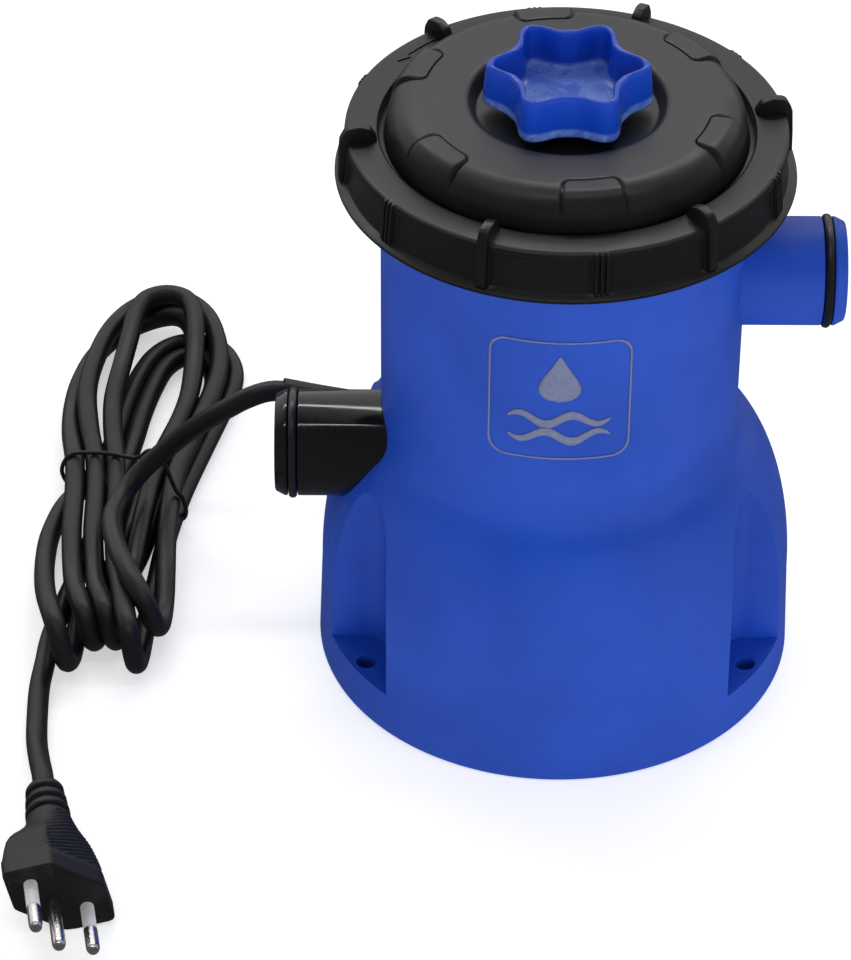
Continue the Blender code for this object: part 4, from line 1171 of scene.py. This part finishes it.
def plug_frame():
    along = Vector((sin(PLUG_AZIMUTH) * cos(PLUG_TILT), -cos(PLUG_AZIMUTH) * cos(PLUG_TILT), sin(PLUG_TILT)))
    level = Vector((cos(PLUG_AZIMUTH), sin(PLUG_AZIMUTH), 0.0))
    up = level.cross(-along)
    if up.z < 0:
        up = -up
    across = cos(PLUG_ROLL) * level - sin(PLUG_ROLL) * up
    away = sin(PLUG_ROLL) * level + cos(PLUG_ROLL) * up
    if across.cross(away).dot(along) < 0:
        across = -across
    made = Matrix((across, away, along)).transposed().to_4x4()
    made.translation = PLUG_FACE
    return made


def hexagon_reach(turn, half_width, half_flat, half_height):
    c, s = abs(cos(turn)), abs(sin(turn))
    slope = half_height / (half_width - half_flat)
    flank = half_width * slope / (s + c * slope)
    return min(flank, half_height / s if s > 1e-6 else flank)


def soft_hexagon(turn, half_width, half_flat, half_height):
    """The hexagon with its corners eased over a few degrees."""
    spread = [hexagon_reach(turn + radians(d), half_width, half_flat, half_height) for d in (-4, -2, 0, 2, 4)]
    return sum(w * r for w, r in zip((0.12, 0.22, 0.32, 0.22, 0.12), spread))


def plug_body(place):
    tail = [
        (0, 4.6), (0.4, 5.3), (1.2, 5.7), (2.8, 5.8), (3.3, 5.5), (3.6, 4.7), (4, 4.5), (4.8, 4.5),
        (5.1, 4.9), (5.4, 5.9), (5.9, 6.15), (7.5, 6.25), (8, 5.9), (8.3, 5.1), (8.7, 4.9),
        (9.5, 4.9), (9.8, 5.3), (10.1, 6.3), (10.6, 6.55), (12.2, 6.65), (12.7, 6.3), (13, 5.6),
        (13.9, 5.5), (14.3, 6.3),
    ]
    shape = [(at, radius, 0.0) for at, radius in tail]
    shape += [
        (14.8, 6.6, 0.02), (17, 6.8, 0.04), (19.5, 7.2, 0.08), (22, 7.7, 0.16), (24.5, 8.2, 0.30),
        (27, 8.6, 0.48), (29.5, 8.8, 0.62), (32, 9, 0.71), (36, 9.2, 0.79), (40.6, 9.3, 0.86),
        (41.6, 9.4, 0.90), (42.1, 9.6, 1.02), (42.8, 9.6, 1.05), (46.4, 9.6, 1.05), (47.1, 9.5, 1.03),
        (47.5, 9.3, 1), (PLUG_LENGTH, 8.9, 0.97),
    ]
    fine = []
    for (a0, r0, f0), (a1, r1, f1) in zip(shape, shape[1:]):
        steps = max(1, ceil((a1 - a0) / 0.5))
        for k in range(steps):
            fine.append((a0 + (a1 - a0) * k / steps, r0 + (r1 - r0) * k / steps, f0 + (f1 - f0) * k / steps))
    fine.append(shape[-1])
    count = 144
    level = place.inverted()
    rings = [[(0.0, 0.0, -PLUG_LENGTH)]]
    for at, round_radius, flatness in fine:
        ring = []
        for i in range(count):
            turn = tau * (i + 0.5) / count
            flat = soft_hexagon(turn, PLUG_HALF_WIDTH, PLUG_HALF_FLAT, PLUG_HALF_HEIGHT)
            squareness = min(1.0, flatness * 1.15)
            eased = flatness * (squareness / max(flatness, 0.01)) * (0.82 + 0.18 * min(1.0, flatness))
            radius = round_radius * (1 - squareness) + flat * eased
            x, y = radius * cos(turn), radius * sin(turn)
            in_length = smooth(at - 15.5) * smooth(40.0 - at)
            in_grip = in_length * smooth((0.30 * at - 0.8 - abs(x)) / 0.8 + 0.5)
            rib = 0.5 + 0.5 * cos(tau * (at + 0.5 * x) / 1.75)
            push = 0.4 * in_grip * smooth(rib * 1.8 - 0.4)
            thicker = 1.0 + 0.1 * smooth((at - 30.0) / 12.0)
            here = place @ (Vector((x, y * thicker + (push if y > 0 else -push), at - PLUG_LENGTH)))
            here.z = max(here.z, 0.1)
            ring.append(tuple(level @ here))
        rings.append(ring)
    edge = rings[-1]
    for across, up, z in ((0.93, 0.9, 0.0), (0.90, 0.86, -0.5), (0.3, 0.3, -0.5)):
        rings.append([(x * across, y * up, z) for x, y, old in edge])
    rings.append([(0.0, 0.0, -0.5)])
    return skin("plug_shell", rings, PLUG_BLACK, place, sharp=50)


def pin(name, place, bare, node):
    """A round pin. One that isn't bare is thinner in its sleeve."""
    foot = [(PIN_RADIUS, -0.4)] if bare else [(1.35, -0.4), (1.35, 9.6), (PIN_RADIUS, 9.75)]
    nose = [pi / 2 * k / 6 for k in range(1, 7)]
    start = PIN_LENGTH - 2.4
    line = [(0, -0.4), *foot, (PIN_RADIUS, start)]
    line += [(PIN_RADIUS - 1.36 * (1 - cos(t)), start + 2.4 * sin(t)) for t in nose]
    line += [(0.0, PIN_LENGTH)]
    return put(revolve(name, line, NICKEL, 48, place), "root", "nickel", node)


PLUG = plug_frame()
plug_pieces = [put(plug_body(PLUG), "root", "cord_pvc", "plug_body")]
for name, side in (("line", -1), ("neutral", 1)):
    at = PLUG @ Matrix.Translation((side * PIN_PITCH / 2, 0, 0))
    plug_pieces.append(pin(f"pin_{name}", at, False, f"plug_pin_{name}"))
    cover = filleted([(1.6, -0.4), (PIN_RADIUS, -0.4), (PIN_RADIUS, 9.5, 0.15), (1.6, 9.5)], closed=True)
    sheath = revolve(f"sheath_{name}", cover, SLEEVE_WHITE, 48, at)
    plug_pieces.append(put(sheath, "root", "pin_sleeve", f"plug_sleeve_{name}"))
earth_at = PLUG @ Matrix.Translation((0, -PIN_EARTH_OFFSET, 0))
plug_pieces.append(pin("pin_earth", earth_at, True, "plug_pin_earth"))

ROUTE = spline(LEAD + TURN_1 + TURN_2 + TURN_3 + TURN_4 + TURN_5 + TAIL, 2.0)
cord = tube("cord", ROUTE, CORD_RADIUS)
put(cord, "root", "cord_pvc", "cord_lead", "cord_hank", "cord_tail")
tie = tube("cord_tie_wire", spline(TIE, 1.0, closed=True), TIE_RADIUS, closed=True)
put(tie, "root", "cord_pvc", "cord_tie")
